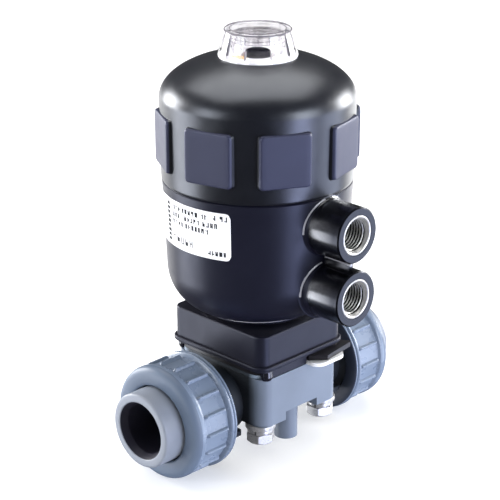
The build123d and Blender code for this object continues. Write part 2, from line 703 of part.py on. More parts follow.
spindle_bottom_z = BOWL_CENTRE_Z - 10.2
nut_corner_r = 7.5
nut_h = 5.5
pin_r = 1.25
with BuildPart() as spindle:
    with BuildSketch(Plane.XY.offset(spindle_bottom_z)):
        Circle(SPINDLE_R)
    extrude(amount=hub_top_z + nut_h + 1.0 - spindle_bottom_z)
    with BuildSketch(Plane.XY.offset(spindle_bottom_z)):
        Circle(ROD_R)
    extrude(amount=rod_top_z - spindle_bottom_z)
    with BuildSketch(inward_plane(-compressor_r, pin_z)):
        Circle(pin_r)
    extrude(amount=2 * compressor_r, mode=Mode.SUBTRACT)
spindle.part.label = "spindle"
export_step(spindle.part, "parts/spindle.step")

with BuildPart() as piston_nut:
    with BuildSketch(Plane.XY.offset(hub_top_z)):
        RegularPolygon(nut_corner_r, 6)
        Circle(SPINDLE_R, mode=Mode.SUBTRACT)
    extrude(amount=nut_h)
piston_nut.part.label = "piston_nut"
export_step(piston_nut.part, "parts/piston_nut.step")

with BuildPart() as compressor:
    with BuildSketch(Plane.XZ):
        with BuildLine():
            sole = CenterArc(
                (0, BOWL_CENTRE_Z),
                compressor_bowl_r,
                -90,
                degrees(asin(compressor_r / compressor_bowl_r)),
            )
            Polyline(
                sole @ 1,
                (compressor_r, compressor_top_z - compressor_slope),
                (compressor_neck_r, compressor_top_z),
                (SPINDLE_R, compressor_top_z),
                (SPINDLE_R, spindle_bottom_z),
                (0, spindle_bottom_z),
                sole @ 0,
            )
        make_face()
    revolve(axis=Axis.Z)
    with BuildSketch(inward_plane(-compressor_r - 1, pin_z)):
        Circle(pin_r)
    extrude(amount=2 * compressor_r + 2, mode=Mode.SUBTRACT)
compressor.part.label = "compressor"
export_step(compressor.part, "parts/compressor.step")

with BuildPart() as compressor_pin:
    with BuildSketch(inward_plane(-compressor_r + 0.6, pin_z)):
        Circle(pin_r)
    extrude(amount=2 * compressor_r - 1.2)
compressor_pin.part.label = "compressor_pin"
export_step(compressor_pin.part, "parts/compressor_pin.step")

# ------------------------------------------------------------ actuator cover
ceiling_z = PIPE_Z + 126.0
cap_bore_r = CAP_SKIRT_R + GAP
cap_bore_z = PIPE_Z + 129.4
indicator_r = 4.8
seat_r = CAP_BASE_R + 0.5
seal_groove = (11.0, 13.0)
seal_groove_z = CAP_SEAT_Z - 1.8
spigot_r = rebate_r - 0.1
spigot_z = rebate_z + 0.2
cover_groove_r = spigot_r - 1.25
cover_seal_z = SEAM_Z - 2.0
pad_inner = COVER_R - 4.0
pad_taper = 9
cover_room_r = 33.0
ceiling_r = 25.0
spigot_bore_r = 32.0
seal_half = 0.7
cover_seal_r = 0.6
cap_seal_r = 0.9
indicator_gap = 0.8

with BuildPart() as actuator_cover:
    with BuildSketch(Plane.XZ):
        with BuildLine():
            dome = EllipticalCenterArc(
                (0, DOME_Z),
                COVER_R,
                DOME_RISE,
                start_angle=0,
                arc_size=90 - degrees(asin(seat_r / COVER_R)),
            )
            Polyline(
                dome @ 1,
                (seat_r, CAP_SEAT_Z),
                (seal_groove[1], CAP_SEAT_Z),
                (seal_groove[1], seal_groove_z),
                (seal_groove[0], seal_groove_z),
                (seal_groove[0], CAP_SEAT_Z),
                (cap_bore_r, CAP_SEAT_Z),
                (cap_bore_r, cap_bore_z),
                (indicator_r + indicator_gap, cap_bore_z),
                (indicator_r + indicator_gap, ceiling_z),
                (ceiling_r, ceiling_z),
                (cover_room_r, DOME_Z - 4.0),
                (cover_room_r, SEAM_Z + 4.0),
                (spigot_bore_r, SEAM_Z),
                (spigot_bore_r, spigot_z),
                (spigot_r, spigot_z),
                (spigot_r, cover_seal_z - seal_half),
                (cover_groove_r, cover_seal_z - seal_half),
                (cover_groove_r, cover_seal_z + seal_half),
                (spigot_r, cover_seal_z + seal_half),
                (spigot_r, SEAM_Z + HOLE_SLACK),
                (HOUSING_TOP_R, SEAM_Z + HOLE_SLACK),
                (HOUSING_TOP_R + 0.25, SEAM_Z + 0.6),
                dome @ 0,
            )
        make_face()
    revolve(axis=Axis.Z)
    # Flat raised pads round the cover, with bevelled sides
    for index in range(PAD_COUNT):
        turn = radians(PAD_START + index * 360 / PAD_COUNT)
        pad_plane = Plane(
            origin=(pad_inner * cos(turn), pad_inner * sin(turn), (PAD_LOW_Z + PAD_HIGH_Z) / 2),
            x_dir=(-sin(turn), cos(turn), 0),
            z_dir=(cos(turn), sin(turn), 0),
        )
        with BuildSketch(pad_plane):
            RectangleRounded(PAD_WIDTH, PAD_HIGH_Z - PAD_LOW_Z, PAD_CORNER_R)
        extrude(amount=PAD_FACE - pad_inner, taper=pad_taper)
actuator_cover.part.label = "actuator_cover"
export_step(actuator_cover.part, "parts/actuator_cover.step")

with BuildPart() as cover_seal:
    with BuildSketch(Plane.XZ):
        with Locations((cover_groove_r + cover_seal_r + RUNNING, cover_seal_z)):
            Circle(cover_seal_r)
    revolve(axis=Axis.Z)
cover_seal.part.label = "cover_seal"
export_step(cover_seal.part, "parts/cover_seal.step")

# ------------------------------------------------------------ return springs
spring_low_z = web_over_z + RUNNING
spring_high_z = ceiling_z - RUNNING
for spring_name, coil_r, wire_r, turns in (("outer", 22.0, 1.8, 6), ("inner", 13.0, 1.4, 8)):
    rise = spring_high_z - spring_low_z - 2 * wire_r
    with BuildPart() as return_spring:
        with BuildLine() as coil:
            Helix(pitch=rise / turns, height=rise, radius=coil_r, center=(0, 0, spring_low_z + wire_r))
        with BuildSketch(Plane(origin=coil.line @ 0, z_dir=coil.line % 0)):
            Circle(wire_r)
        sweep(is_frenet=True)
    return_spring.part.label = f"spring_{spring_name}"
    export_step(return_spring.part, f"parts/spring_{spring_name}.step")

# -------------------------------------------------- indicator and clear cap
indicator_bottom_z = PIPE_Z + 127.0
indicator_top_z = PIPE_Z + 137.2
band_low_z = PIPE_Z + 131.2
band_high_z = PIPE_Z + 134.0
band_r = 6.2
cap_bottom_z = CAP_SEAT_Z + GAP
cap_skirt_z = cap_bore_z + 0.4
cap_room_r = CAP_TOP_R - CAP_WALL
cap_roof_z = indicator_top_z + STROKE + 1.1
cap_foot_h = 0.9
cap_rim_h = 1.4
cap_rim_r = 1.6
cap_shelf_z = cap_bottom_z + 4.6
cap_sleeve_r = 7.2

with BuildPart() as position_indicator:
    with BuildSketch(Plane.XY.offset(indicator_bottom_z)):
        Circle(indicator_r)
    extrude(amount=indicator_top_z - indicator_bottom_z)
    chamfer(position_indicator.edges().group_by(Axis.Z)[-1], length=rim_edge)
    with BuildSketch(Plane.XY.offset(indicator_bottom_z)):
        Circle(ROD_R)
    extrude(amount=rod_top_z - indicator_bottom_z, mode=Mode.SUBTRACT)
position_indicator.part.label = "position_indicator"
export_step(position_indicator.part, "parts/position_indicator.step")

with BuildPart() as indicator_band:
    with BuildSketch(Plane.XY.offset(band_low_z)):
        Circle(band_r)
        Circle(indicator_r, mode=Mode.SUBTRACT)
    extrude(amount=band_high_z - band_low_z)
indicator_band.part.label = "indicator_band"
export_step(indicator_band.part, "parts/indicator_band.step")

with BuildPart() as indicator_cap:
    with BuildSketch(Plane.XZ):
        with BuildLine():
            Polyline(
                (CAP_SKIRT_R, cap_bottom_z),
                (CAP_BASE_R, cap_bottom_z),
                (CAP_BASE_R, cap_bottom_z + cap_foot_h),
                (CAP_TOP_R + 0.4, CAP_TOP_Z - cap_rim_h),
            )
            rim = RadiusArc(
                (CAP_TOP_R + 0.4, CAP_TOP_Z - cap_rim_h),
                (CAP_TOP_R - 1.0, CAP_TOP_Z),
                -cap_rim_r,
            )
            Polyline(
                rim @ 1,
                (CAP_TOP_R - 2.2, CAP_TOP_Z - 0.35),
                (4.0, CAP_TOP_Z - 0.5),
                (0, CAP_TOP_Z - 1.0),
                (0, cap_roof_z),
                (cap_room_r, cap_roof_z),
                (cap_room_r + 0.4, cap_shelf_z),
                (cap_room_r - 1.2, cap_shelf_z),
                (cap_room_r - 1.0, cap_bottom_z + 1.6),
                (cap_sleeve_r, cap_bottom_z),
                (cap_sleeve_r, cap_skirt_z),
                (CAP_SKIRT_R, cap_skirt_z),
                (CAP_SKIRT_R, cap_bottom_z),
            )
        make_face()
    revolve(axis=Axis.Z)
indicator_cap.part.label = "indicator_cap"
export_step(indicator_cap.part, "parts/indicator_cap.step")

with BuildPart() as cap_seal:
    with BuildSketch(Plane.XZ):
        with Locations((sum(seal_groove) / 2, seal_groove_z + cap_seal_r + RUNNING)):
            Circle(cap_seal_r)
    revolve(axis=Axis.Z)
cap_seal.part.label = "cap_seal"
export_step(cap_seal.part, "parts/cap_seal.step")

# -------------------------------------------------------------- rating label
label_low_z = PIPE_Z + 65.0
label_high_z = PIPE_Z + 83.9
label_start = 142.0
label_span = 66.5
label_t = 0.25
label_lift = 0.02

with BuildPart() as rating_label:
    with BuildSketch(Plane.XZ.rotated((0, 0, label_start))):
        with BuildLine():
            Polyline(
                (housing_wall_r(label_low_z) + label_lift, label_low_z),
                (housing_wall_r(label_low_z) + label_lift + label_t, label_low_z),
                (housing_wall_r(label_high_z) + label_lift + label_t, label_high_z),
                (housing_wall_r(label_high_z) + label_lift, label_high_z),
                close=True,
            )
        make_face()
    revolve(axis=Axis.Z, revolution_arc=label_span)
rating_label.part.label = "rating_label"
export_step(rating_label.part, "parts/rating_label.step")
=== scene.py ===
import random
from math import asin, cos, pi, radians, sin, sqrt, tan

import bpy
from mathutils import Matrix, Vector


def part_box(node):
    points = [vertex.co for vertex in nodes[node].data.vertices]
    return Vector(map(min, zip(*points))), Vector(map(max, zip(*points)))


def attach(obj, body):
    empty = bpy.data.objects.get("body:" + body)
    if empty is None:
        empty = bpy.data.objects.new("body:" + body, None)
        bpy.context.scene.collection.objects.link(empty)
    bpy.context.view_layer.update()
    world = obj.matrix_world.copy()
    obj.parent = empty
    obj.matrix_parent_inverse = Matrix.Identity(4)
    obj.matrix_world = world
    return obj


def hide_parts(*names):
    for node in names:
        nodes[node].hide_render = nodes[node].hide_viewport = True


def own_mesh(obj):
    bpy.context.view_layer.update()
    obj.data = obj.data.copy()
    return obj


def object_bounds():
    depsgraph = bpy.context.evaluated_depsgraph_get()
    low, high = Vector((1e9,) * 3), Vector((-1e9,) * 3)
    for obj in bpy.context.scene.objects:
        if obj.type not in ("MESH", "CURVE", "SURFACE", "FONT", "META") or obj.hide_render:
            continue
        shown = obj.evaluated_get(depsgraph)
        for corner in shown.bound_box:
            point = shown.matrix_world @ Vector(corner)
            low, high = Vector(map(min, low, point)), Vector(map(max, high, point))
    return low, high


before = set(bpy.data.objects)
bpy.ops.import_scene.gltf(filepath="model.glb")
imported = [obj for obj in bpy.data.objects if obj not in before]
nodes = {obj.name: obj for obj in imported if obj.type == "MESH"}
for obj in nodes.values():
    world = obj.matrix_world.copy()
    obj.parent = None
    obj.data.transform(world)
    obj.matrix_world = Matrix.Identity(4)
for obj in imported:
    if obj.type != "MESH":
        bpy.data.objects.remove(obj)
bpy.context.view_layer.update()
scene = bpy.context.scene
MM = 0.001

# ------------------------------------------------------------------ camera
# Azimuth 0 looks along +Y. Distances are in metres, the sensor and the lens in millimetres
AZIMUTH = radians(-45.505)
ELEVATION = radians(20.907)
DISTANCE = 0.6703
TARGET = Vector((-0.002084, 0.002121, 0.0749))
SENSOR = 36.0
LENS = 122.57

camera_data = bpy.data.cameras.new("camera")
camera_data.sensor_width = SENSOR
camera_data.lens = LENS
camera_data.clip_start = 0.01
camera_data.clip_end = 50
camera = bpy.data.objects.new("camera", camera_data)
scene.collection.objects.link(camera)
back = Vector((sin(AZIMUTH) * cos(ELEVATION), -cos(AZIMUTH) * cos(ELEVATION), sin(ELEVATION)))
camera.location = TARGET + back * DISTANCE
camera.rotation_mode = "QUATERNION"
camera.rotation_quaternion = (-back).to_track_quat("-Z", "Y")
scene.camera = camera
scene.view_settings.view_transform = "Standard"


# --------------------------------------------------------------- materials
# Nearly all of a noise node's values lie between these two
NOISE_LOW, NOISE_HIGH = 0.3, 0.7


class Graph:
    """A material's node tree, with short calls for the nodes used here."""

    def __init__(self, name):
        self.material = bpy.data.materials.new(name)
        self.material.use_nodes = True
        self.tree = self.material.node_tree
        self.shader = self.tree.nodes["Principled BSDF"]
        self.coord = self.tree.nodes.new("ShaderNodeTexCoord").outputs["Object"]

    def put(self, socket, value):
        if isinstance(value, bpy.types.NodeSocket):
            self.tree.links.new(value, socket)
        else:
            socket.default_value = value

    def set(self, name, value):
        self.put(self.shader.inputs[name], value)

    def math(self, operation, *values):
        node = self.tree.nodes.new("ShaderNodeMath")
        node.operation = operation
        for socket, value in zip(node.inputs, values):
            self.put(socket, value)
        return node.outputs[0]

    def map_range(self, value, low, high, to_low=0.0, to_high=1.0):
        node = self.tree.nodes.new("ShaderNodeMapRange")
        self.put(node.inputs["Value"], value)
        node.inputs["From Min"].default_value = low
        node.inputs["From Max"].default_value = high
        node.inputs["To Min"].default_value = to_low
        node.inputs["To Max"].default_value = to_high
        return node.outputs["Result"]

    def noise(self, scale, detail=2.0, rough=0.5, stretch=None):
        coord = self.coord
        if stretch:
            mapping = self.tree.nodes.new("ShaderNodeMapping")
            self.put(mapping.inputs["Vector"], coord)
            mapping.inputs["Scale"].default_value = stretch
            coord = mapping.outputs["Vector"]
        node = self.tree.nodes.new("ShaderNodeTexNoise")
        self.put(node.inputs["Vector"], coord)
        node.inputs["Scale"].default_value = scale
        node.inputs["Detail"].default_value = detail
        node.inputs["Roughness"].default_value = rough
        return node.outputs["Fac"]

    def ramp(self, factor, stops):
        node = self.tree.nodes.new("ShaderNodeValToRGB")
        self.put(node.inputs["Fac"], factor)
        elements = node.color_ramp.elements
        while len(elements) < len(stops):
            elements.new(0.5)
        for element, (place, colour) in zip(elements, stops):
            element.position = place
            element.color = (*colour, 1)
        return node.outputs["Color"]

    def along(self, axis, low, high):
        """0 to 1 between two distances from the frame's centre along an axis, in metres."""
        split = self.tree.nodes.new("ShaderNodeSeparateXYZ")
        self.put(split.inputs["Vector"], self.coord)
        return self.map_range(self.math("ABSOLUTE", split.outputs[axis]), low, high)

    def times(self, a, b):
        return self.math("MULTIPLY", a, b)

    def blend(self, factor, a, b):
        node = self.tree.nodes.new("ShaderNodeMix")
        node.data_type = "RGBA"
        self.put(node.inputs["Factor"], factor)
        # The colour sockets of this node share their names with its number and vector sockets
        self.put(node.inputs[6], a)
        self.put(node.inputs[7], b)
        return node.outputs[2]

    def spread(self, factor, low, high):
        """A noise's usual range, stretched to run from low to high."""
        return self.map_range(factor, NOISE_LOW, NOISE_HIGH, low, high)

    def bump(self, heights):
        """Chained bumps: a list of (height, strength, distance)."""
        normal = None
        for height, strength, distance in heights:
            node = self.tree.nodes.new("ShaderNodeBump")
            self.put(node.inputs["Height"], height)
            node.inputs["Strength"].default_value = strength
            node.inputs["Distance"].default_value = distance
            if normal:
                self.put(node.inputs["Normal"], normal)
            normal = node.outputs["Normal"]
        self.set("Normal", normal)


def shade(colour, factor):
    return tuple(min(1.0, c * factor) for c in colour)


def grey(level):
    return (level, level, level, 1)


# Scales of the noises in every plastic: the drift of its colour, its gloss and the waves of its surface
DRIFT_SCALE, GLOSS_SCALE, WAVE_SCALE = 45, 160, 120
GLOSS_VARIES = 0.03
GRAIN_STRENGTH, WAVE_STRENGTH, WAVE_HEIGHT = 0.35, 0.12, 0.00003
SHINE_IOR, SHINE_ROUGH = 2.0, 0.2


def plastic(name, colour, rough, specular=0.5, grain=0.00002, grain_scale=2500, vary=0.08, tint=(1, 1, 1),
            dark_from=None, dark=(0.12, 0.45, 0.3), shine=None, over=None):
    """Moulded plastic: slow colour drift, fine grain, and a slightly uneven gloss.

    Distances are from the frame's centre, in metres.
    dark_from holds two distances for each of x, y and z: nothing darkens at the first, and the plastic is
    dark at the second where all three agree; ANY leaves an axis out. dark holds how much of the colour
    is left there, the roughness and the specular level. shine holds two distances in y: a gloss on the dark
    part starts at the first and is full at the second. over holds a colour and two distances in y: it
    starts at the first and has taken over at the second.
    """
    g = Graph(name)
    drift = g.noise(DRIFT_SCALE, 3)
    base = g.ramp(drift, [(NOISE_LOW, shade(colour, 1 - vary)), (NOISE_HIGH, shade(colour, 1 + vary))])
    gloss = g.spread(g.noise(GLOSS_SCALE, 4), rough - GLOSS_VARIES, rough + GLOSS_VARIES)
    level = specular
    if dark_from:
        left, dark_rough, dark_specular = dark
        mask = g.times(g.along("X", *dark_from[:2]), g.along("Y", *dark_from[2:4]))
        mask = g.times(mask, g.along("Z", *dark_from[4:]))
        base = g.blend(mask, base, (*shade(colour, left), 1))
        gloss = g.blend(mask, gloss, grey(dark_rough))
        level = g.spread(g.blend(mask, grey(NOISE_LOW), grey(NOISE_HIGH)), specular, dark_specular)
        if shine:
            g.set("Coat Weight", g.times(mask, g.along("Y", *shine)))
            g.set("Coat IOR", SHINE_IOR)
            g.set("Coat Roughness", SHINE_ROUGH)
    if over:
        base = g.blend(g.along("Y", *over[1:]), base, (*over[0], 1))
    g.set("Base Color", base)
    g.set("Roughness", gloss)
    g.set("Specular IOR Level", level)
    g.set("Specular Tint", (*tint, 1))
    fine, waves = g.noise(grain_scale, 2), g.noise(WAVE_SCALE, 2)
    g.bump([(fine, GRAIN_STRENGTH, grain), (waves, WAVE_STRENGTH, WAVE_HEIGHT)])
    return g.material


MARK_SCALE, MARK_DEPTH = 900, 0.00002


def metal(name, colour, rough, scratch=(1, 1, 1), strength=0.25, metallic=1.0):
    """Metal with fine drawn or turned marks. scratch stretches them: the larger, the closer along that axis."""
    g = Graph(name)
    marks = g.noise(MARK_SCALE, 3, 0.6, stretch=scratch)
    g.set("Base Color", g.ramp(marks, [(0.25, shade(colour, 0.86)), (0.75, shade(colour, 1.06))]))
    g.set("Metallic", metallic)
    g.set("Roughness", g.spread(marks, rough - 0.05, rough + 0.07))
    g.bump([(marks, strength, MARK_DEPTH)])
    return g.material


VIOLET = (0.78, 0.82, 1.0)
# Painted shade: the body and the white tab are darkened at their ends round the necks, where the nuts shadow
# them: outwards in x and inwards in y
NECK_SHADE_Y = (0.0200, 0.0165)
ANY = (-1, 0)
cover_black = plastic("cover_black", (0.0032, 0.0036, 0.0070), 0.34, 0.78, tint=(0.88, 0.92, 1.0))
pad_black = plastic("pad_black", (0.026, 0.028, 0.056), 0.46, 0.46, tint=VIOLET)
housing_black = plastic("housing_black", (0.0065, 0.0066, 0.0150), 0.38, 0.38, tint=VIOLET,
                        dark_from=(*ANY, 0.0362, 0.0374, *ANY), dark=(0.12, 0.26, 0.36), shine=(0.0490, 0.0390))
bonnet_black = plastic("bonnet_black", (0.0075, 0.0075, 0.0150), 0.44, 0.34, 0.00004, 1500, tint=VIOLET)
rubber_black = plastic("rubber_black", (0.010, 0.009, 0.012), 0.36, 0.45)
rubber_gloss = plastic("rubber_gloss", (0.006, 0.006, 0.012), 0.20, 0.95)
# Painted highlight: light grey for the lines along the port roots and the web
highlight_grey = plastic("highlight_grey", (0.30, 0.30, 0.33), 0.22, 0.9)
# Painted highlight: pale grey for the bead round the seat ring
highlight_pale = plastic("highlight_pale", (0.60, 0.60, 0.64), 0.22, 0.9)
# Painted shade on the body's ends round the necks, in the nuts' shadow
body_grey = plastic("body_grey", (0.132, 0.160, 0.208), 0.42, 0.45, dark_from=(0.0214, 0.0219, *NECK_SHADE_Y, *ANY))
nut_grey = plastic("nut_grey", (0.156, 0.196, 0.266), 0.28, 0.66)
# Painted shade: a dark copy of the nut's plastic for its rear face, which lies in the nut's shadow
nut_rear_shade = plastic("nut_rear_shade", (0.030, 0.037, 0.056), 0.5, 0.2)
# Painted shade: a darker, less glossy copy of the nut's plastic, for the nut's nose
nose_shaded_grey = plastic("nose_shaded_grey", (0.102, 0.134, 0.190), 0.42, 0.32)
socket_grey = plastic("socket_grey", (0.200, 0.220, 0.262), 0.42, 0.45)
# Painted shade: dark plastic for the socket's bore, which lies in shadow
bore_shade = plastic("bore_shade", (0.018, 0.017, 0.028), 0.5, 0.2)
# Painted shade on the tab's ends round the necks, in the nuts' shadow
tab_white = plastic("tab_white", (0.27, 0.34, 0.43), 0.38, 0.45, vary=0.03,
                    dark_from=(0.0206, 0.0212, *NECK_SHADE_Y, *ANY), over=((0.80, 0.80, 0.80), 0.0221, 0.0223))
label_paper = plastic("label_paper", (0.87, 0.87, 0.89), 0.34, 0.4, grain=0.00001, vary=0.015)
label_ink = plastic("label_ink", (0.015, 0.014, 0.018), 0.5, 0.2, vary=0.3)
piston_tan = plastic("piston_tan", (0.42, 0.39, 0.32), 0.5)
guide_cream = plastic("guide_cream", (0.7, 0.66, 0.55), 0.5)
indicator_dark = plastic("indicator_dark", (0.002, 0.002, 0.006), 0.60, 0.0)
indicator_orange = plastic("indicator_orange", (0.85, 0.36, 0.03), 0.32, 0.5)
# The seat under the cap: partly its own white, partly a painted reflection of the light caught inside the clear
# cap
seat_white_and_reflection = plastic("seat_white_and_reflection", (0.88, 0.88, 0.90), 0.45, 0.4, vary=0.03)
steel = metal("steel", (0.54, 0.53, 0.52), 0.30, (1, 1, 6), 0.1, 0.65)
spring_steel = metal("spring_steel", (0.40, 0.40, 0.41), 0.35)
nickel = metal("nickel", (0.62, 0.605, 0.575), 0.34, (1, 8, 1), 0.1, 0.75)
# Painted shade: dark metal for the thread's roots
thread_root_shade = metal("thread_root_shade", (0.050, 0.045, 0.040), 0.45, (1, 8, 1), 0.1)
brass = metal("brass", (0.72, 0.52, 0.22), 0.32)


def clear_plastic(name):
    """Thin clear plastic: the room shows through it, tinted by faint upright streaks, under a gloss."""
    g = Graph(name)
    streak = g.noise(260, 3, 0.6, stretch=(1, 1, 0.10))
    tints = [(0.38, (0.50, 0.49, 0.52)), (0.46, (0.82, 0.80, 0.82)), (0.7, (0.89, 0.88, 0.90))]
    g.set("Base Color", g.ramp(streak, tints))
    g.set("Transmission Weight", 1.0)
    # Hardly any bending of light: the gloss comes from the coat
    g.set("IOR", 1.01)
    g.set("Roughness", g.spread(g.noise(300, 3), 0.0, 0.012))
    g.set("Coat Weight", 1.0)
    g.set("Coat IOR", 1.55)
    g.set("Coat Roughness", 0.05)
    g.bump([(streak, 0.20, 0.00012)])
    return g.material


clear = clear_plastic("clear_plastic")
# Painted glint of the indicator's orange band on the seat's inner edge
orange_glint = plastic("orange_glint", (0.88, 0.56, 0.28), 0.45, 0.3)
clear_edge = plastic("clear_edge", (0.11, 0.10, 0.12), 0.25, 0.7)
clear_rib = plastic("clear_rib", (0.16, 0.15, 0.17), 0.3, 0.7, vary=0.5)

# The nodes that are seen as they are; the others are replaced by the pieces below
NODE_MATERIALS = {
    "valve_body": body_grey,
    "mounting_inserts": nickel,
    "union_oring_inlet": rubber_black,
    "union_oring_outlet": rubber_black,
    "diaphragm_face": tab_white,
    "diaphragm_backing": rubber_black,
    "bonnet": bonnet_black,
    "bonnet_inserts": brass,
    "bonnet_screws": steel,
    "seat_ring": housing_black,
    "actuator_housing": housing_black,
    "spindle_seal": rubber_black,
    "spindle_bush": brass,
    "piston": piston_tan,
    "piston_seal": rubber_black,
    "piston_guide_ring": guide_cream,
    "spindle": steel,
    "piston_nut": steel,
    "compressor": piston_tan,
    "compressor_pin": steel,
    "cover_seal": rubber_black,
    "position_indicator": indicator_dark,
    "indicator_band": indicator_orange,
    "cap_seal": rubber_black,
}
for node, material in NODE_MATERIALS.items():
    mesh = nodes[node].data
    mesh.materials.clear()
    mesh.materials.append(material)


# ------------------------------------------------------------ mesh helpers
def piece(name, verts, faces, material, body, replaced=(), sharp=32):
    """A mesh piece that rides on a body. Vertices are in millimetres in the row frame."""
    mesh = bpy.data.meshes.new(name)
    mesh.from_pydata([tuple(c * MM for c in v) for v in verts], [], faces)
    mesh.validate()
    mesh.materials.append(material)
    mesh.shade_smooth()
    mesh.set_sharp_from_angle(angle=radians(sharp))
    obj = bpy.data.objects.new(name, mesh)
    scene.collection.objects.link(obj)
    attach(obj, body)
    if replaced:
        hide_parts(*replaced)
    return obj


def second_material(obj, material, test):
    """Gives another material to the faces whose centre, in millimetres, passes the test."""
    obj.data.materials.append(material)
    for polygon in obj.data.polygons:
        if test(polygon.center / MM):
            polygon.material_index = len(obj.data.materials) - 1


def grid_faces(rows, columns, wrap_rows, wrap_columns, flip=False):
    """Quads of a grid whose vertex index is row * columns + column."""
    faces = []
    for i in range(rows if wrap_rows else rows - 1):
        for j in range(columns if wrap_columns else columns - 1):
            a, b = i * columns + j, i * columns + (j + 1) % columns
            c, d = (i + 1) % rows * columns + (j + 1) % columns, (i + 1) % rows * columns + j
            faces.append((a, d, c, b) if flip else (a, b, c, d))
    return faces


STRAIGHT = 0.9995


def rounded(points, radii, steps=6):
    """A closed outline of 2D points with its corners rounded, by one radius or by one each."""
    out = []
    count = len(points)
    for k, (x, y) in enumerate(points):
        radius = radii[k] if isinstance(radii, (list, tuple)) else radii
        p, q = Vector(points[k - 1]), Vector(points[(k + 1) % count])
        here = Vector((x, y))
        u, v = (p - here).normalized(), (q - here).normalized()
        bend = max(-1.0, min(1.0, u.dot(v)))
        if radius <= 0 or abs(bend) > STRAIGHT:
            out.append((x, y))
            continue
        half_angle = asin(sqrt((1 - bend) / 2))
        # A corner takes less than half of the edge on each side
        cut = min(radius / tan(half_angle), 0.49 * (p - here).length, 0.49 * (q - here).length)
        start, end = here + u * cut, here + v * cut
        for i in range(steps + 1):
            t = i / steps
            point = (1 - t) ** 2 * start + 2 * t * (1 - t) * here + t * t * end
            out.append((point.x, point.y))
    return out


# The two directions across each axis that a piece is turned about, and the axis itself
TURN_AXES = {
    "X": ((0, 1, 0), (0, 0, 1), (1, 0, 0)),
    "Z": ((1, 0, 0), (0, 1, 0), (0, 0, 1)),
}


def turned(name, outline, axis, centre, material, body, replaced=(), steps=180, sharp=32):
    """A ring-shaped solid: a closed outline of (radius, along) points turned about an axis through centre."""
    verts = []
    u, v, w = TURN_AXES[axis]
    for i in range(steps):
        t = 2 * pi * i / steps
        for r, along in outline:
            across = [cos(t) * u[k] + sin(t) * v[k] for k in range(3)]
            verts.append(tuple(centre[k] + r * across[k] + along * w[k] for k in range(3)))
    area = sum(a[0] * b[1] - b[0] * a[1] for a, b in zip(outline, outline[1:] + outline[:1]))
    faces = grid_faces(steps, len(outline), True, True, flip=area < 0)
    return piece(name, verts, faces, material, body, replaced, sharp)


def tube_faces(rows, columns):
    """Quads round a tube of rings, and a face over each end."""
    ends = [tuple(range(columns - 1, -1, -1)), tuple(range((rows - 1) * columns, rows * columns))]
    return grid_faces(rows, columns, False, True) + ends


def box_mm(node):
    """A node's box in millimetres."""
    low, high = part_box(node)
    return low / MM, high / MM


# ------------------------------------------------------------- union ends
end_low, end_high = box_mm("union_end_inlet")
PIPE_Z = (end_low.z + end_high.z) / 2
COLLAR_R = (end_high.z - end_low.z) / 2
FLOW_R, SOCKET_R, MOUTH_R, SOCKET_OUTER_R = 7.5, 10.05, 11.7, 14.9
COLLAR_WIDTH, SOCKET_DEPTH, LEAD_IN = 5, 16, 3
for side_name, side in (("inlet", -1), ("outlet", 1)):
    low, high = box_mm(f"union_end_{side_name}")
    near, far = sorted((abs(low.x), abs(high.x)))
    outline = rounded(
        [
            (FLOW_R, near), (COLLAR_R, near), (COLLAR_R, near + COLLAR_WIDTH),
            (SOCKET_OUTER_R, near + COLLAR_WIDTH), (SOCKET_OUTER_R, far), (MOUTH_R, far),
            (SOCKET_R, far - LEAD_IN), (SOCKET_R, far - SOCKET_DEPTH), (FLOW_R, far - SOCKET_DEPTH),
        ],
        [0, 0.3, 0.3, 0.2, 1.1, 0.5, 0.6, 0.2, 0.2],
    )
    outline = [(r, side * x) for r, x in outline]
    end = turned(f"end_{side_name}", outline, "X", (0, 0, PIPE_Z), socket_grey, "valve",
                 [f"union_end_{side_name}"])
    # Painted shade inside the socket's bore
    second_material(end, bore_shade, lambda c: Vector((c.y, c.z - PIPE_Z)).length < MOUTH_R - 0.2)

# ------------------------------------------------------------- union nuts
RIBS = 18
PER_RIB = 28
RIB_HALF = 0.75
RIB_HEIGHT = 1.12
RIB_ROWS = 28
RIB_ROOM = 6.0
WAIST_START, WAIST_TAPER = 4.1, 0.1
FACET_SHARE, FACET_STAND = 0.8, 0.25
NUT_MOUTH_R, NUT_THREAD_R = 15.4, 16.8
NOSE, NOSE_STEPS = 3.0, 8


def smooth(low, high, x):
    """0 up to low, 1 from high on, and an easy slope between them."""
    t = max(0.0, min(1.0, (x - low) / (high - low)))
    return t * t * (3 - 2 * t)


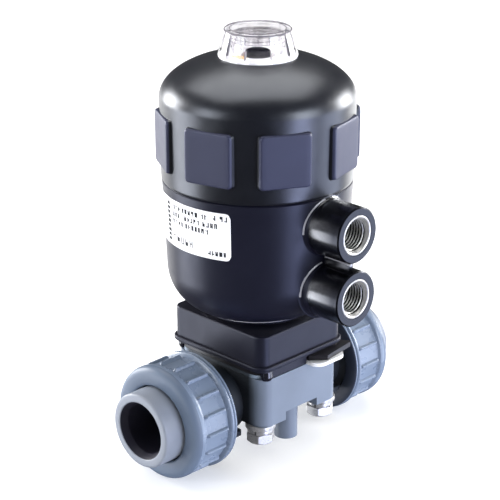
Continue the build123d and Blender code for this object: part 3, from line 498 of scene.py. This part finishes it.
def union_nut(name, side, node, body):
    low, high = box_mm(node)
    rear, front = sorted((abs(low.x), abs(high.x)))
    flange_r = (high.z - low.z) / 2
    collar_r, waist_r, mouth_r, thread_r = flange_r - 0.7, flange_r - 1.9, NUT_MOUTH_R, NUT_THREAD_R
    # Outer profile from the rear to the front: (distance from the rear, radius, how far the ribs stand there)
    profile = [
        (0, thread_r + 0.6, 0), (0, flange_r - 1.6, 0), (0.05, flange_r - 0.9, 0), (0.35, flange_r - 0.35, 0),
        (0.8, flange_r - 0.25, 0), (1.15, flange_r - 0.45, 0), (1.35, flange_r - 0.85, 0),
        (1.55, flange_r - 0.85, 0), (1.75, flange_r - 0.35, 0), (2.15, flange_r, 0), (2.75, flange_r - 0.02, 0),
        (3.15, flange_r - 0.35, 0), (3.45, flange_r - 1.1, 0), (3.75, waist_r, 0), (WAIST_START, waist_r, 0),
    ]
    length = front - rear
    rib_end = length - RIB_ROOM
    for i in range(1, RIB_ROWS + 1):
        x = WAIST_START + (rib_end - WAIST_START) * i / RIB_ROWS
        stand = smooth(4.15, 4.75, x) * (1 - smooth(rib_end - 0.75, rib_end - 0.05, x))
        profile.append((x, waist_r - WAIST_TAPER * i / RIB_ROWS, stand))
    profile += [
        (rib_end + 0.35, waist_r + 0.05, 0), (rib_end + 0.75, collar_r - 0.4, 0),
        (rib_end + 1.1, collar_r - 0.12, 0), (rib_end + 1.6, collar_r, 0),
    ]
    for i in range(NOSE_STEPS + 1):
        t = radians(90 * i / NOSE_STEPS)
        profile.append((length - NOSE + NOSE * sin(t), collar_r - NOSE + NOSE * cos(t), 0))
    # Round the mouth and back along the inside
    profile += [
        (length - 0.02, mouth_r + 1.2, 0), (length - 0.15, mouth_r + 0.5, 0), (length - 0.5, mouth_r + 0.1, 0),
        (length - 1.0, mouth_r, 0), (length - 6.1, mouth_r, 0), (length - 6.2, thread_r, 0), (1.0, thread_r, 0),
        (0.3, thread_r + 0.3, 0),
    ]
    columns = RIBS * PER_RIB
    verts = []
    for along, radius, stand in profile:
        facet = smooth(4.0, 4.6, along) * (1 - smooth(rib_end - 0.1, rib_end + 0.6, along))
        if radius <= waist_r - 0.8:
            facet = 0
        for j in range(columns):
            t = 2 * pi * j / columns
            phi = (j % PER_RIB) / PER_RIB - 0.5
            angle = phi * 2 * pi / RIBS
            # Between the ribs the waist is a little flat, and each rib stands on the edge of two flats
            flat = FACET_SHARE * waist_r * (cos(pi / RIBS) / cos(angle) - 1)
            r = radius + facet * flat + facet * FACET_STAND
            off = (0.5 - abs(phi)) * 2 * pi / RIBS * waist_r
            width = RIB_HALF * (0.72 + 0.28 * stand)
            r += stand * RIB_HEIGHT * (1 - smooth(width * 0.45, width * 1.15, off))
            if radius < flange_r - 0.02:
                r = min(r, flange_r - 0.01)
            verts.append((side * (rear + along), r * cos(t), PIPE_Z + r * sin(t)))
    faces = grid_faces(len(profile), columns, True, True, flip=side > 0)
    nut = piece(name, verts, faces, nut_grey, body, [node], sharp=50)
    # The nose gets the painted-shade copy of the nut's plastic
    second_material(nut, nose_shaded_grey, lambda c: abs(c.x) > front - 3.4)
    # The rear face gets the painted-shade copy of the nut's plastic
    second_material(nut, nut_rear_shade, lambda c: abs(c.x) < rear + 0.3)


union_nut("nut_inlet", -1, "union_nut_inlet", "inlet_nut")
union_nut("nut_outlet", 1, "union_nut_outlet", "outlet_nut")

# ------------------------------------------------ threaded pilot inserts
THREAD_PITCH = 1.337
THREAD_DEPTH = 0.78
THREAD_CREST_R = 5.72
THREAD_START, THREAD_FULL = 0.9, 1.9
THREAD_STEPS = 150


def pilot_insert(name, node):
    low, high = box_mm(node)
    centre_z = (low.z + high.z) / 2
    outer_r = (high.z - low.z) / 2
    face, end = low.y, high.y
    crest = THREAD_CREST_R
    columns = 96
    rows = []
    # Bore with a helical thread from the mouth inwards
    depth = end - face - 0.05
    for i in range(THREAD_STEPS + 1):
        s = THREAD_START + (depth - THREAD_START) * i / THREAD_STEPS
        row = []
        for j in range(columns):
            phase = (s / THREAD_PITCH - j / columns) % 1.0
            wave = 1 - abs(2 * phase - 1)
            cutin = smooth(0.12, 0.88, wave)
            lead = 1 - smooth(THREAD_START, THREAD_FULL, s)
            row.append((crest + max(THREAD_DEPTH * cutin, lead * THREAD_DEPTH * 0.9), s))
        rows.append(row)
    mouth = [
        (outer_r, 0.6), (outer_r - 0.12, 0.22), (outer_r - 0.35, 0.03), (outer_r - 0.55, 0.0),
        (outer_r - 0.75, 0.02), (crest + 1.12, 0.28), (crest + 0.92, 0.5), (crest + 0.8, 0.75),
    ]
    rows = [[point] * columns for point in mouth] + rows + [[(outer_r, depth)] * columns]
    verts = []
    for row in rows:
        for j, (r, s) in enumerate(row):
            t = 2 * pi * j / columns
            verts.append((r * cos(t), face + s, centre_z + r * sin(t)))
    faces = grid_faces(len(rows), columns, True, True, flip=True)
    insert = piece(name, verts, faces, nickel, "valve", [node], sharp=60)
    root_r = crest + 0.42 * THREAD_DEPTH

    def in_root(c):
        return c.y > face + 1.3 and root_r < Vector((c.x, c.z - centre_z)).length < outer_r - 1

    # Painted shade in the thread's roots, between the lit crests
    second_material(insert, thread_root_shade, in_root)


pilot_insert("insert_lower", "pilot_insert_lower")
pilot_insert("insert_upper", "pilot_insert_upper")

# ------------------------------------- rounded roots of the port bosses
# Two points of the housing's tapered wall: (height above the pipe's axis, radius)
HOUSING_WALL = ((53.0, 35.6), (87.5, 37.1))
PORT_BOSS_R, ROOT_REACH = 10.9, 1.3


def housing_r(z):
    """The housing's radius at a height in the row frame."""
    (z0, r0), (z1, r1) = HOUSING_WALL
    return r0 + (r1 - r0) * (z - PIPE_Z - z0) / (z1 - z0)


def port_root(name, node):
    low, high = box_mm(node)
    centre_x, centre_z = (low.x + high.x) / 2, (low.z + high.z) / 2
    boss_r, reach = PORT_BOSS_R, ROOT_REACH
    verts = []
    columns, steps = 144, 6
    for k in range(columns):
        t = 2 * pi * k / columns
        for i in range(steps + 1):
            turn_in = pi / 2 * i / steps
            out = boss_r - 0.05 + reach * (1 - sin(turn_in))
            x, z = centre_x + out * cos(t), centre_z + out * sin(t)
            wall = sqrt(max(0.0, (housing_r(z) - 0.08) ** 2 - x * x))
            verts.append((x, -wall - reach * (1 - cos(turn_in)), z))
        x, z = centre_x + (boss_r - 0.4) * cos(t), centre_z + (boss_r - 0.4) * sin(t)
        verts.append((x, -sqrt(max(0.0, (housing_r(z) - 0.6) ** 2 - x * x)), z))
    faces = grid_faces(columns, steps + 2, True, True, flip=True)
    root = piece(name, verts, faces, housing_black, "valve", sharp=75)

    # Painted highlight: a light grey line along the upper left of each root
    def on_highlight_line(c):
        share = (Vector((c.x - centre_x, c.z - centre_z)).length - boss_r) / reach
        return c.x < -2 and c.z > centre_z - 1 and 0.33 < share < 0.75

    second_material(root, highlight_grey, on_highlight_line)


port_root("port_root_lower", "pilot_insert_lower")
port_root("port_root_upper", "pilot_insert_upper")

# A thin light grey tube along the web between the port bosses, a painted highlight along its edge, thicker over
# its last two rings
WEB_LINE_X, WEB_LINE_UP = -1.35, 0.9
WEB_LINE_START, WEB_LINE_END_GAP = -37.0, 1.6
WEB_LINE_R, WEB_LINE_THICKER = 0.26, 0.35
WEB_LINE_RINGS, WEB_LINE_SIDES = 9, 8
web_z = (box_mm("pilot_insert_lower")[0].z + box_mm("pilot_insert_upper")[1].z) / 2
web_end = box_mm("pilot_insert_lower")[0].y
verts = []
for k in range(WEB_LINE_RINGS):
    y = WEB_LINE_START + (web_end + WEB_LINE_END_GAP - WEB_LINE_START) * k / (WEB_LINE_RINGS - 1)
    r = WEB_LINE_R + (WEB_LINE_THICKER if k > 6 else 0)
    for j in range(WEB_LINE_SIDES):
        t = 2 * pi / WEB_LINE_SIDES * j
        verts.append((WEB_LINE_X + r * cos(t), y, web_z + WEB_LINE_UP + r * sin(t)))
faces = tube_faces(WEB_LINE_RINGS, WEB_LINE_SIDES)
piece("port_web_line", verts, faces, highlight_grey, "valve", sharp=80)

# Rounded knuckles of rubber that show at the ends of the bonnet's aprons
KNUCKLE_X, KNUCKLE_Y = 18.6, 23.0
lip_z = box_mm("diaphragm_backing")[1].z
for index, (x, y) in enumerate([(-1, -1), (1, -1), (-1, 1), (1, 1)]):
    knuckle = rounded(
        [(0.3, lip_z + 0.2), (0.3, lip_z - 4.1), (2.0, lip_z - 3.8), (2.5, lip_z - 2.2), (2.2, lip_z + 0.2)],
        [0, 0.1, 0.9, 0.8, 0],
    )
    turned(f"rubber_knuckle_{index + 1}", knuckle, "Z", (x * KNUCKLE_X, y * KNUCKLE_Y, 0), rubber_gloss,
           "valve", steps=48, sharp=60)

# --------------------------------------------- light bead round the seat ring: a painted highlight
seat_low, seat_high = box_mm("seat_ring")
seat_r, bead_r = (seat_high.x - seat_low.x) / 2, 0.36
bead_centre_r, bead_z = seat_r - 0.2, seat_high.z - 0.4
bead = [(bead_centre_r + bead_r * cos(k * pi / 6), bead_z + bead_r * sin(k * pi / 6)) for k in range(12)]
turned("seat_highlight_bead", bead, "Z", (0, 0, 0), highlight_pale, "valve", steps=144, sharp=80)

# ------------------------------------------------------- cover with pads
cover_low, cover_high = box_mm("actuator_cover")
SEAM_Z = box_mm("actuator_housing")[1].z
COVER_R = 37.7
DOME_RISE = 17.2
DOME_Z = SEAM_Z + 31.9
SEAT_R = 15.85
SEAT_Z = cover_high.z
DOME_STEPS = 39
cover_outline = []
for i in range(DOME_STEPS + 1):
    t = (pi / 2 - asin(SEAT_R / COVER_R)) * i / DOME_STEPS
    cover_outline.append((COVER_R * cos(t), DOME_Z + DOME_RISE * sin(t)))
# The cap's seat and bore, the inside of the shell, its spigot, and the rounded lower rim
cover_outline += [
    (SEAT_R - 0.35, SEAT_Z - 0.02), (SEAT_R - 0.8, SEAT_Z), (9.5, SEAT_Z), (9.5, SEAT_Z - 5), (5.6, SEAT_Z - 5),
    (5.6, SEAT_Z - 8.4), (25, SEAT_Z - 8.4), (33, DOME_Z - 4), (33, SEAM_Z + 4), (32, SEAM_Z),
    (32, cover_low.z), (34.4, cover_low.z), (34.4, SEAM_Z + 0.2), (36.6, SEAM_Z + 0.2),
    (37.1, SEAM_Z + 0.32), (37.3, SEAM_Z + 0.65), (37.36, SEAM_Z + 1.4),
]
turned("cover_shell", cover_outline, "Z", (0, 0, 0), cover_black, "valve", ["actuator_cover"],
       steps=256, sharp=40)

PAD_START, PAD_COUNT = 15.0, 8
PAD_LOW, PAD_HIGH = SEAM_Z + 5.9, SEAM_Z + 28.1
PAD_FACE_R = 38.3
PAD_SIDE_R = 37.0
for index in range(PAD_COUNT):
    turn = radians(PAD_START + 360 / PAD_COUNT * index)
    out = Vector((cos(turn), sin(turn), 0))
    across = Vector((-sin(turn), cos(turn), 0))
    middle = (PAD_LOW + PAD_HIGH) / 2
    rings = []
    # (outline half width, outline half height, corner radius, distance from the axis)
    for half_w, half_h, corner, reach in (
        (10.65, 10.95, 2.1, 33.9), (10.40, 10.75, 2.1, 36.1), (10.05, 10.5, 2.0, 37.2),
        (9.75, 10.3, 1.9, 37.85), (9.55, 10.12, 1.8, 38.12), (9.25, 9.85, 1.6, 38.26),
        (8.90, 9.5, 1.4, PAD_FACE_R), (7.00, 7.4, 1.0, PAD_FACE_R),
    ):
        box = [(-half_w, -half_h), (half_w, -half_h), (half_w, half_h), (-half_w, half_h)]
        corners = rounded(box, corner, steps=8)
        rings.append([tuple(out * reach + across * x + Vector((0, 0, middle + y))) for x, y in corners])
    count = len(rings[0])
    verts = [v for ring in rings for v in ring]
    # A pad is open at its back, inside the shell
    faces = grid_faces(len(rings), count, False, True)
    faces.append(tuple(range((len(rings) - 1) * count, len(rings) * count)))
    pad = piece(f"cover_pad_{index + 1}", verts, faces, pad_black, "valve", sharp=60)
    second_material(pad, cover_black, lambda c: c.x * out.x + c.y * out.y < PAD_SIDE_R)

# ------------------------------------------------------------- clear cap
cap_low, cap_high = box_mm("indicator_cap")
cap_base, cap_top = cap_low.z + 5.0, cap_high.z
cap_outline = rounded(
    [
        (0.0, cap_top - 1.0), (4.2, cap_top - 0.62), (10.2, cap_top - 0.55), (11.0, cap_top),
        (12.75, cap_top - 0.1), (13.05, cap_top - 1.9), (15.3, cap_base + 1.1), (15.33, cap_base + 0.05),
        (9.2, cap_base + 0.05), (9.2, cap_low.z), (7.25, cap_low.z), (7.25, cap_base + 0.1),
        (9.6, cap_base + 1.7), (10.4, cap_base + 5.2), (10.1, cap_top - 2.4), (0.0, cap_top - 2.4),
    ],
    [0, 0.6, 0.5, 0.5, 1.1, 0.7, 0.35, 0.3, 0.2, 0.2, 0.2, 0.4, 0.5, 0.4, 0.4, 0],
    steps=5,
)


def turned_to_pole(name, outline, material, body, replaced=(), steps=128, sharp=35):
    """A solid turned about Z whose outline starts and ends on the axis."""
    top, bottom = outline[0], outline[-1]
    ring = outline[1:-1]
    verts = [(0, 0, top[1]), (0, 0, bottom[1])]
    for r, z in ring:
        verts += [(r * cos(2 * pi * i / steps), r * sin(2 * pi * i / steps), z) for i in range(steps)]
    faces = [tuple(i + 2 for i in f) for f in grid_faces(len(ring), steps, False, True, flip=True)]
    last = 2 + (len(ring) - 1) * steps
    for i in range(steps):
        n = (i + 1) % steps
        faces.append((0, 2 + i, 2 + n))
        faces.append((1, last + n, last + i))
    return piece(name, verts, faces, material, body, replaced, sharp)


sight_cap = turned_to_pole("sight_cap", cap_outline, clear, "cap", ["indicator_cap"])
sight_cap.visible_shadow = False
# White seat under the cap, partly its own colour and partly a painted reflection of the light inside the clear
# cap
white_seat_outline = [
    (7.1, cap_base + 0.15), (15.0, cap_base + 0.15), (14.9, cap_base + 0.7), (10.6, cap_base + 0.9),
    (6.5, cap_base + 0.5), (6.5, cap_low.z + 0.3), (7.1, cap_low.z + 0.3),
]
seat = turned("cap_white_seat", rounded(white_seat_outline, 0.1), "Z", (0, 0, 0), seat_white_and_reflection, "cap")
GLINT_R, GLINT_NARROW, GLINT_TURN = 8.6, 2.6, 0.18


def in_glint(c):
    """Painted glint: the seat's thin inner edge is coloured orange in a wedge towards -X, where the indicator's
    orange band glints through it.
    """
    near_x = -c.x > GLINT_NARROW * abs(c.y + GLINT_TURN * c.x)
    return c.x ** 2 + c.y ** 2 < GLINT_R ** 2 and near_x and c.z > cap_base


second_material(seat, orange_glint, in_glint)
# Fine dark rings where the cap's steps catch no light: (name, radius, height, thickness)
for ring_name, ring_r, ring_z, thick in (
    ("cap_rim_line", 12.70, cap_top - 0.75, 0.26), ("cap_dish_line", 10.75, cap_top - 0.42, 0.15),
    ("cap_upper_line", 10.6, cap_top - 3.4, 0.10), ("cap_lower_line", 10.9, cap_top - 4.6, 0.10),
):
    line = [(ring_r + thick * cos(k * pi / 4), ring_z + thick * sin(k * pi / 4)) for k in range(8)]
    turned(ring_name, line, "Z", (0, 0, 0), clear_edge, "cap", sharp=80)

# Upright grip ribs moulded inside the cap's wall, wide and narrow in pairs
GRIP_COUNT, GRIP_START = 8, 22.5
GRIPS_WIDE = (2, 3, 6, 7)
GRIP_LOW, GRIP_STEPS = 1.3, 12
CAP_WALL_LOW_R, CAP_WALL_HIGH_R = 14.4, 12.7
GRIP_INNER, GRIP_OUTER = 1.9, 0.4
for index in range(GRIP_COUNT):
    turn = radians(GRIP_START + 360 / GRIP_COUNT * index)
    out, across = Vector((cos(turn), sin(turn), 0)), Vector((-sin(turn), cos(turn), 0))
    tall, half_width = (7.2, 0.95) if index in GRIPS_WIDE else (3.4, 0.24)
    verts = []
    for k in range(GRIP_STEPS + 1):
        z = cap_base + GRIP_LOW + tall * k / GRIP_STEPS
        wall = CAP_WALL_LOW_R + (CAP_WALL_HIGH_R - CAP_WALL_LOW_R) * (z - cap_base) / (cap_top - cap_base)
        w = half_width * (1 - 0.35 * abs(2 * k / GRIP_STEPS - 1) ** 3)
        inner, outer = wall - GRIP_INNER, wall - GRIP_OUTER
        for r, off in ((inner, -w), (outer, -w * 0.5), (outer, w * 0.5), (inner, w)):
            verts.append(tuple(out * r + across * off + Vector((0, 0, z))))
    faces = tube_faces(GRIP_STEPS + 1, 4)
    piece(f"cap_rib_{index + 1}", verts, faces, clear_rib, "cap", sharp=40)

# ---------------------------------------------------------- In the valve they shorten as the stem lifts; here each is built at its node's height, its top under the cover and its foot on the piston
# They shorten as the stem lifts: their tops rest under the cover and their feet on the piston
STEPS_PER_TURN, WIRE_SIDES = 48, 12
# (node, radius of the wire, turns)
for node, wire_r, turns in (("spring_outer", 1.8, 6), ("spring_inner", 1.4, 8)):
    low, high = box_mm(node)
    coil_r, rise = high.x - wire_r, high.z - low.z - 2 * wire_r
    steps = turns * STEPS_PER_TURN
    verts = []
    for i in range(steps + 1):
        t = 2 * pi * turns * i / steps
        centre = Vector((coil_r * cos(t), coil_r * sin(t), low.z + wire_r + rise * i / steps))
        out = Vector((cos(t), sin(t), 0))
        up = Vector((-sin(t) * coil_r, cos(t) * coil_r, rise / (2 * pi * turns))).normalized().cross(out)
        # The coil's wire is a little thinner than its node's, and narrows at its ends
        r = wire_r * (0.6 if i in (0, steps) else 0.95)
        for k in range(WIRE_SIDES):
            a = 2 * pi * k / WIRE_SIDES
            verts.append(tuple(centre + out * r * cos(a) + up * r * sin(a)))
    faces = tube_faces(steps + 1, WIRE_SIDES)
    coil = piece(f"{node}_coil", verts, faces, spring_steel, "valve", [node], sharp=60)
    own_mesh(coil)

# ----------------------------------------------------------- bolts, washers
bolt_low, bolt_high = box_mm("body_bolts")
washer_low, washer_high = box_mm("body_washers")
lock_low, lock_high = box_mm("lock_washers")
BOLT_R, WASHER_R = 3.0, 6.0
# A head's flats stand at the apothem, its corners are cut at the corner radius, and all heads are turned alike
HEAD_APOTHEM, HEAD_CORNER_R, HEAD_TURN = 5.0, 5.72, radians(5)
HEAD_COLUMNS = 144
# A lock washer: where its arc starts, how far it goes round, and how far its ends stand off its middle
LOCK_START, LOCK_SPAN, LOCK_RISE, LOCK_STEPS = radians(205), radians(352), 0.18, 90
NO_LIMIT = 9
bolt_x, bolt_y = washer_high.x - WASHER_R, washer_high.y - WASHER_R
head_h = lock_low.z - bolt_low.z
# A head's rings from its upper side down: (height, how far from the axis it may reach there)
head_rings = [(head_h, 5.05), (head_h - 0.02, 5.3)]
head_rings += [(head_h - 0.1 - 0.2 * k / 4, 5.35 + 0.5 * k / 4) for k in range(5)]
head_rings += [(head_h - 0.4 - (head_h - 1.5) * k / 13, NO_LIMIT) for k in range(14)]
for k in range(12):
    height = 1.1 - 1.05 * k / 11
    head_rings.append((height, 4.75 + height * 1.15))
head_rings += [(0.0, 4.7), (0.0, 4.0), (0.06, 3.4), (0.06, 0.01)]
for index, (x, y) in enumerate([(-bolt_x, -bolt_y), (bolt_x, -bolt_y), (-bolt_x, bolt_y), (bolt_x, bolt_y)]):
    columns = HEAD_COLUMNS
    verts = []
    for height, limit in head_rings:
        for j in range(columns):
            t = 2 * pi * j / columns
            folded = (t + pi / 6) % (pi / 3) - pi / 6
            r = min(HEAD_APOTHEM / cos(folded), limit, HEAD_CORNER_R)
            verts.append((x + r * cos(t + HEAD_TURN), y + r * sin(t + HEAD_TURN), bolt_low.z + height))
    # The shank up into the bonnet closes the head's upper side
    for z in (lock_low.z, bolt_high.z):
        for j in range(columns):
            t = 2 * pi * j / columns + HEAD_TURN
            verts.append((x + BOLT_R * cos(t), y + BOLT_R * sin(t), z))
    total = len(head_rings)
    faces = grid_faces(total, columns, False, True, flip=True)
    shank, tip = total * columns, (total + 1) * columns
    for j in range(columns):
        n = (j + 1) % columns
        faces.append((j, n, shank + n, shank + j))
        faces.append((shank + j, shank + n, tip + n, tip + j))
    piece(f"bolt_{index + 1}", verts, faces, steel, "valve", ["body_bolts"], sharp=28)
    hole_r = BOLT_R + 0.2
    flat = rounded(
        [(hole_r, washer_low.z), (WASHER_R, washer_low.z), (WASHER_R, washer_high.z), (hole_r, washer_high.z)],
        0.22,
    )
    turned(f"washer_{index + 1}", flat, "Z", (x, y, 0), steel, "valve", ["body_washers"], steps=96)
    # Split lock washer: a ring with a gap, its ends a little apart in height
    half_t = (lock_high.z - lock_low.z) / 2 - 0.2
    inner, outer = BOLT_R + 0.15, 5.25
    section = rounded([(inner, -half_t), (outer, -half_t), (outer, half_t), (inner, half_t)], 0.25, steps=3)
    verts = []
    for i in range(LOCK_STEPS + 1):
        share = i / LOCK_STEPS
        t = LOCK_START + LOCK_SPAN * share
        lift = (lock_low.z + lock_high.z) / 2 + LOCK_RISE * (2 * share - 1)
        verts += [(x + r * cos(t), y + r * sin(t), lift + z) for r, z in section]
    count = len(section)
    faces = grid_faces(LOCK_STEPS + 1, count, False, True)
    faces += [tuple(range(count)), tuple(reversed(range(LOCK_STEPS * count, (LOCK_STEPS + 1) * count)))]
    piece(f"lock_washer_{index + 1}", verts, faces, steel, "valve", ["lock_washers"], sharp=40)

# ------------------------------------------------------------ rating label
label_low, label_high = box_mm("rating_label")
LABEL_START, LABEL_SPAN = radians(142.0), radians(66.5)
LABEL_MID_R, LABEL_CORNER = 36.6, 2.0
# How far the film's back, its face and the print stand off the housing
FILM_BACK, FILM_FACE, PRINT_FACE = 0.02, 0.25, 0.29
label_h = label_high.z - label_low.z
label_w = LABEL_SPAN * LABEL_MID_R


def on_label(s, h, lift):
    """A point of the label: s along it from its left end and h up from its lower edge, in millimetres."""
    z = label_low.z + h
    r = housing_r(z) + lift
    t = LABEL_START + s / LABEL_MID_R
    return (r * cos(t), r * sin(t), z)


columns, lines = 64, 16
verts, faces = [], []
for lift, flip in ((FILM_FACE, False), (FILM_BACK, True)):
    base = len(verts)
    for i in range(columns + 1):
        s = label_w * i / columns
        # Within a corner's radius of either end the corners trim the film above and below
        inset = max(0.0, LABEL_CORNER - s, s - (label_w - LABEL_CORNER))
        trim = LABEL_CORNER - sqrt(max(0.0, LABEL_CORNER ** 2 - inset ** 2))
        for k in range(lines + 1):
            h = trim + (label_h - 2 * trim) * k / lines
            verts.append(on_label(s, h, lift))
    faces += [tuple(base + i for i in f) for f in grid_faces(columns + 1, lines + 1, False, False, flip=flip)]
side = (columns + 1) * (lines + 1)
rim = [i * (lines + 1) for i in range(columns + 1)]
rim += [columns * (lines + 1) + k for k in range(1, lines + 1)]
rim += [i * (lines + 1) + lines for i in range(columns - 1, -1, -1)]
rim += [k for k in range(lines - 1, 0, -1)]
for a, b in zip(rim, rim[1:] + rim[:1]):
    faces.append((a, b, b + side, a + side))
piece("label_film", verts, faces, label_paper, "valve", ["rating_label"], sharp=40)

dice = random.Random(7)
verts, faces = [], []


def stroke(s0, s1, h0, h1):
    """A small printed bar on the label, in parts about 1 mm long so that it bends with the housing."""
    parts = max(1, int(s1 - s0 + 0.5))
    base = len(verts)
    for i in range(parts + 1):
        s = s0 + (s1 - s0) * i / parts
        verts.append(on_label(s, h0, PRINT_FACE))
        verts.append(on_label(s, h1, PRINT_FACE))
    for i in range(parts):
        a = base + 2 * i
        faces.append((a, a + 2, a + 3, a + 1))


# Where a mark's cross bar may stand, as a share of the mark's height
BAR_HEIGHTS = (0.0, 0.45, 0.8)


def print_row(s0, s1, h, height, weight):
    """A row of short marks that stands for a line of small print."""
    s = s0
    while s < s1:
        wide = height * dice.uniform(0.45, 0.7)
        if dice.random() < 0.16:
            s += wide * 0.8
            continue
        kind = dice.randrange(3)
        if kind != 1:
            stroke(s, s + weight, h, h + height)
        if kind != 0:
            stroke(s + wide - weight, s + wide, h, h + height)
        h0, h1 = (h + height * dice.choice(BAR_HEIGHTS) for _ in range(2))
        stroke(s, s + wide, h0, h1 + weight * 0.9)
        s += wide + height * 0.32


# A column of short bars, then the rows
BARS, BARS_LEFT, BARS_LOW, BARS_PITCH, BAR_THICK = 9, 9.4, 1.6, 1.8, 1.35
for k in range(BARS):
    h = BARS_LOW + BARS_PITCH * k
    stroke(BARS_LEFT, BARS_LEFT + dice.uniform(2.3, 2.9), h, h + BAR_THICK)
# (from, to, distance of the foot from the label's upper edge, height, weight of the strokes)
for first, last, drop, height, weight in (
    (14.0, 32.0, 3.5, 1.9, 0.46), (35.6, 40.5, 3.2, 2.0, 0.46), (14.0, 18.5, 6.4, 1.9, 0.46),
    (21.6, 37.0, 6.4, 1.9, 0.46), (14.0, 33.5, 9.3, 1.9, 0.46), (13.8, 26.0, 16.4, 2.7, 0.44),
    (33.0, 40.5, 17.4, 1.8, 0.40),
):
    print_row(first, last, label_h - drop, height, weight)
piece("label_print", verts, faces, label_ink, "valve")

# ---------------------------------------------------- softer CAD edges
for node in ("valve_body", "bonnet", "diaphragm_face", "diaphragm_backing", "actuator_housing", "seat_ring"):
    mesh = nodes[node].data
    mesh.shade_smooth()
    mesh.set_sharp_from_angle(angle=radians(30))

# ------------------------------------------------------------------- stage
def stage_material():
    """A pale floor that glows a little, to come out as light as the photo's."""
    g = Graph("floor_pale")
    tints = [(NOISE_LOW, (0.74, 0.74, 0.75)), (NOISE_HIGH, (0.76, 0.76, 0.77))]
    g.set("Base Color", g.ramp(g.noise(3, 2), tints))
    g.set("Roughness", 0.9)
    g.set("Specular IOR Level", 0.1)
    g.set("Emission Color", (1, 1, 1, 1))
    g.set("Emission Strength", 0.35)
    return g.material


FLOOR_HALF = 6.0
floor_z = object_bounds()[0].z
floor_mesh = bpy.data.meshes.new("floor")
floor_corners = [(x * FLOOR_HALF, y * FLOOR_HALF, floor_z) for x, y in ((-1, -1), (1, -1), (1, 1), (-1, 1))]
floor_mesh.from_pydata(floor_corners, [], [(0, 1, 2, 3)])
floor_mesh.materials.append(stage_material())
floor = bpy.data.objects.new("floor", floor_mesh)
scene.collection.objects.link(floor)
floor.visible_glossy = False
floor.visible_shadow = False


def softbox(name, azimuth, elevation, distance, width, height, power, colour=(1, 1, 1), aim=(0, 0, 0.08)):
    """A rectangular studio light. Azimuth 0 is the camera's side, and positive is to the camera's right."""
    turn = AZIMUTH + radians(azimuth)
    up = radians(elevation)
    direction = Vector((sin(turn) * cos(up), -cos(turn) * cos(up), sin(up)))
    data = bpy.data.lights.new(name, "AREA")
    data.shape = "RECTANGLE"
    data.size, data.size_y = width, height
    data.energy = power
    data.color = colour
    obj = bpy.data.objects.new(name, data)
    scene.collection.objects.link(obj)
    obj.location = Vector(aim) + direction * distance
    obj.rotation_mode = "QUATERNION"
    obj.rotation_quaternion = (-direction).to_track_quat("-Z", "Y")


softbox("top_box", -170, 74, 1.0, 1.35, 1.0, 15)
softbox("left_rim", -118, 9, 0.8, 0.34, 0.36, 9)
softbox("right_rim", 118, 9, 0.8, 0.34, 0.36, 8)
softbox("left_fill", -60, 14, 0.9, 0.45, 0.5, 4.0, (0.92, 0.95, 1.0))
softbox("right_fill", 54, 12, 0.9, 0.45, 0.5, 5.8, (0.88, 0.93, 1.0))
softbox("left_low", -94, -16, 0.8, 0.50, 0.42, 4.2, (0.90, 0.93, 1.0))
softbox("right_low", 94, -16, 0.8, 0.50, 0.42, 2.6, (0.72, 0.79, 1.0))
softbox("right_front_low", 50, -18, 0.8, 0.34, 0.42, 3.4, (0.62, 0.68, 1.0))
softbox("left_back_low", -146, -16, 0.8, 0.50, 0.42, 1.25)
softbox("right_back_low", 146, -16, 0.8, 0.50, 0.42, 2.3)

world = bpy.data.worlds.new("studio")
world.use_nodes = True
background = world.node_tree.nodes["Background"]
background.inputs["Color"].default_value = (1, 1, 1, 1)
background.inputs["Strength"].default_value = 0.08
scene.world = world
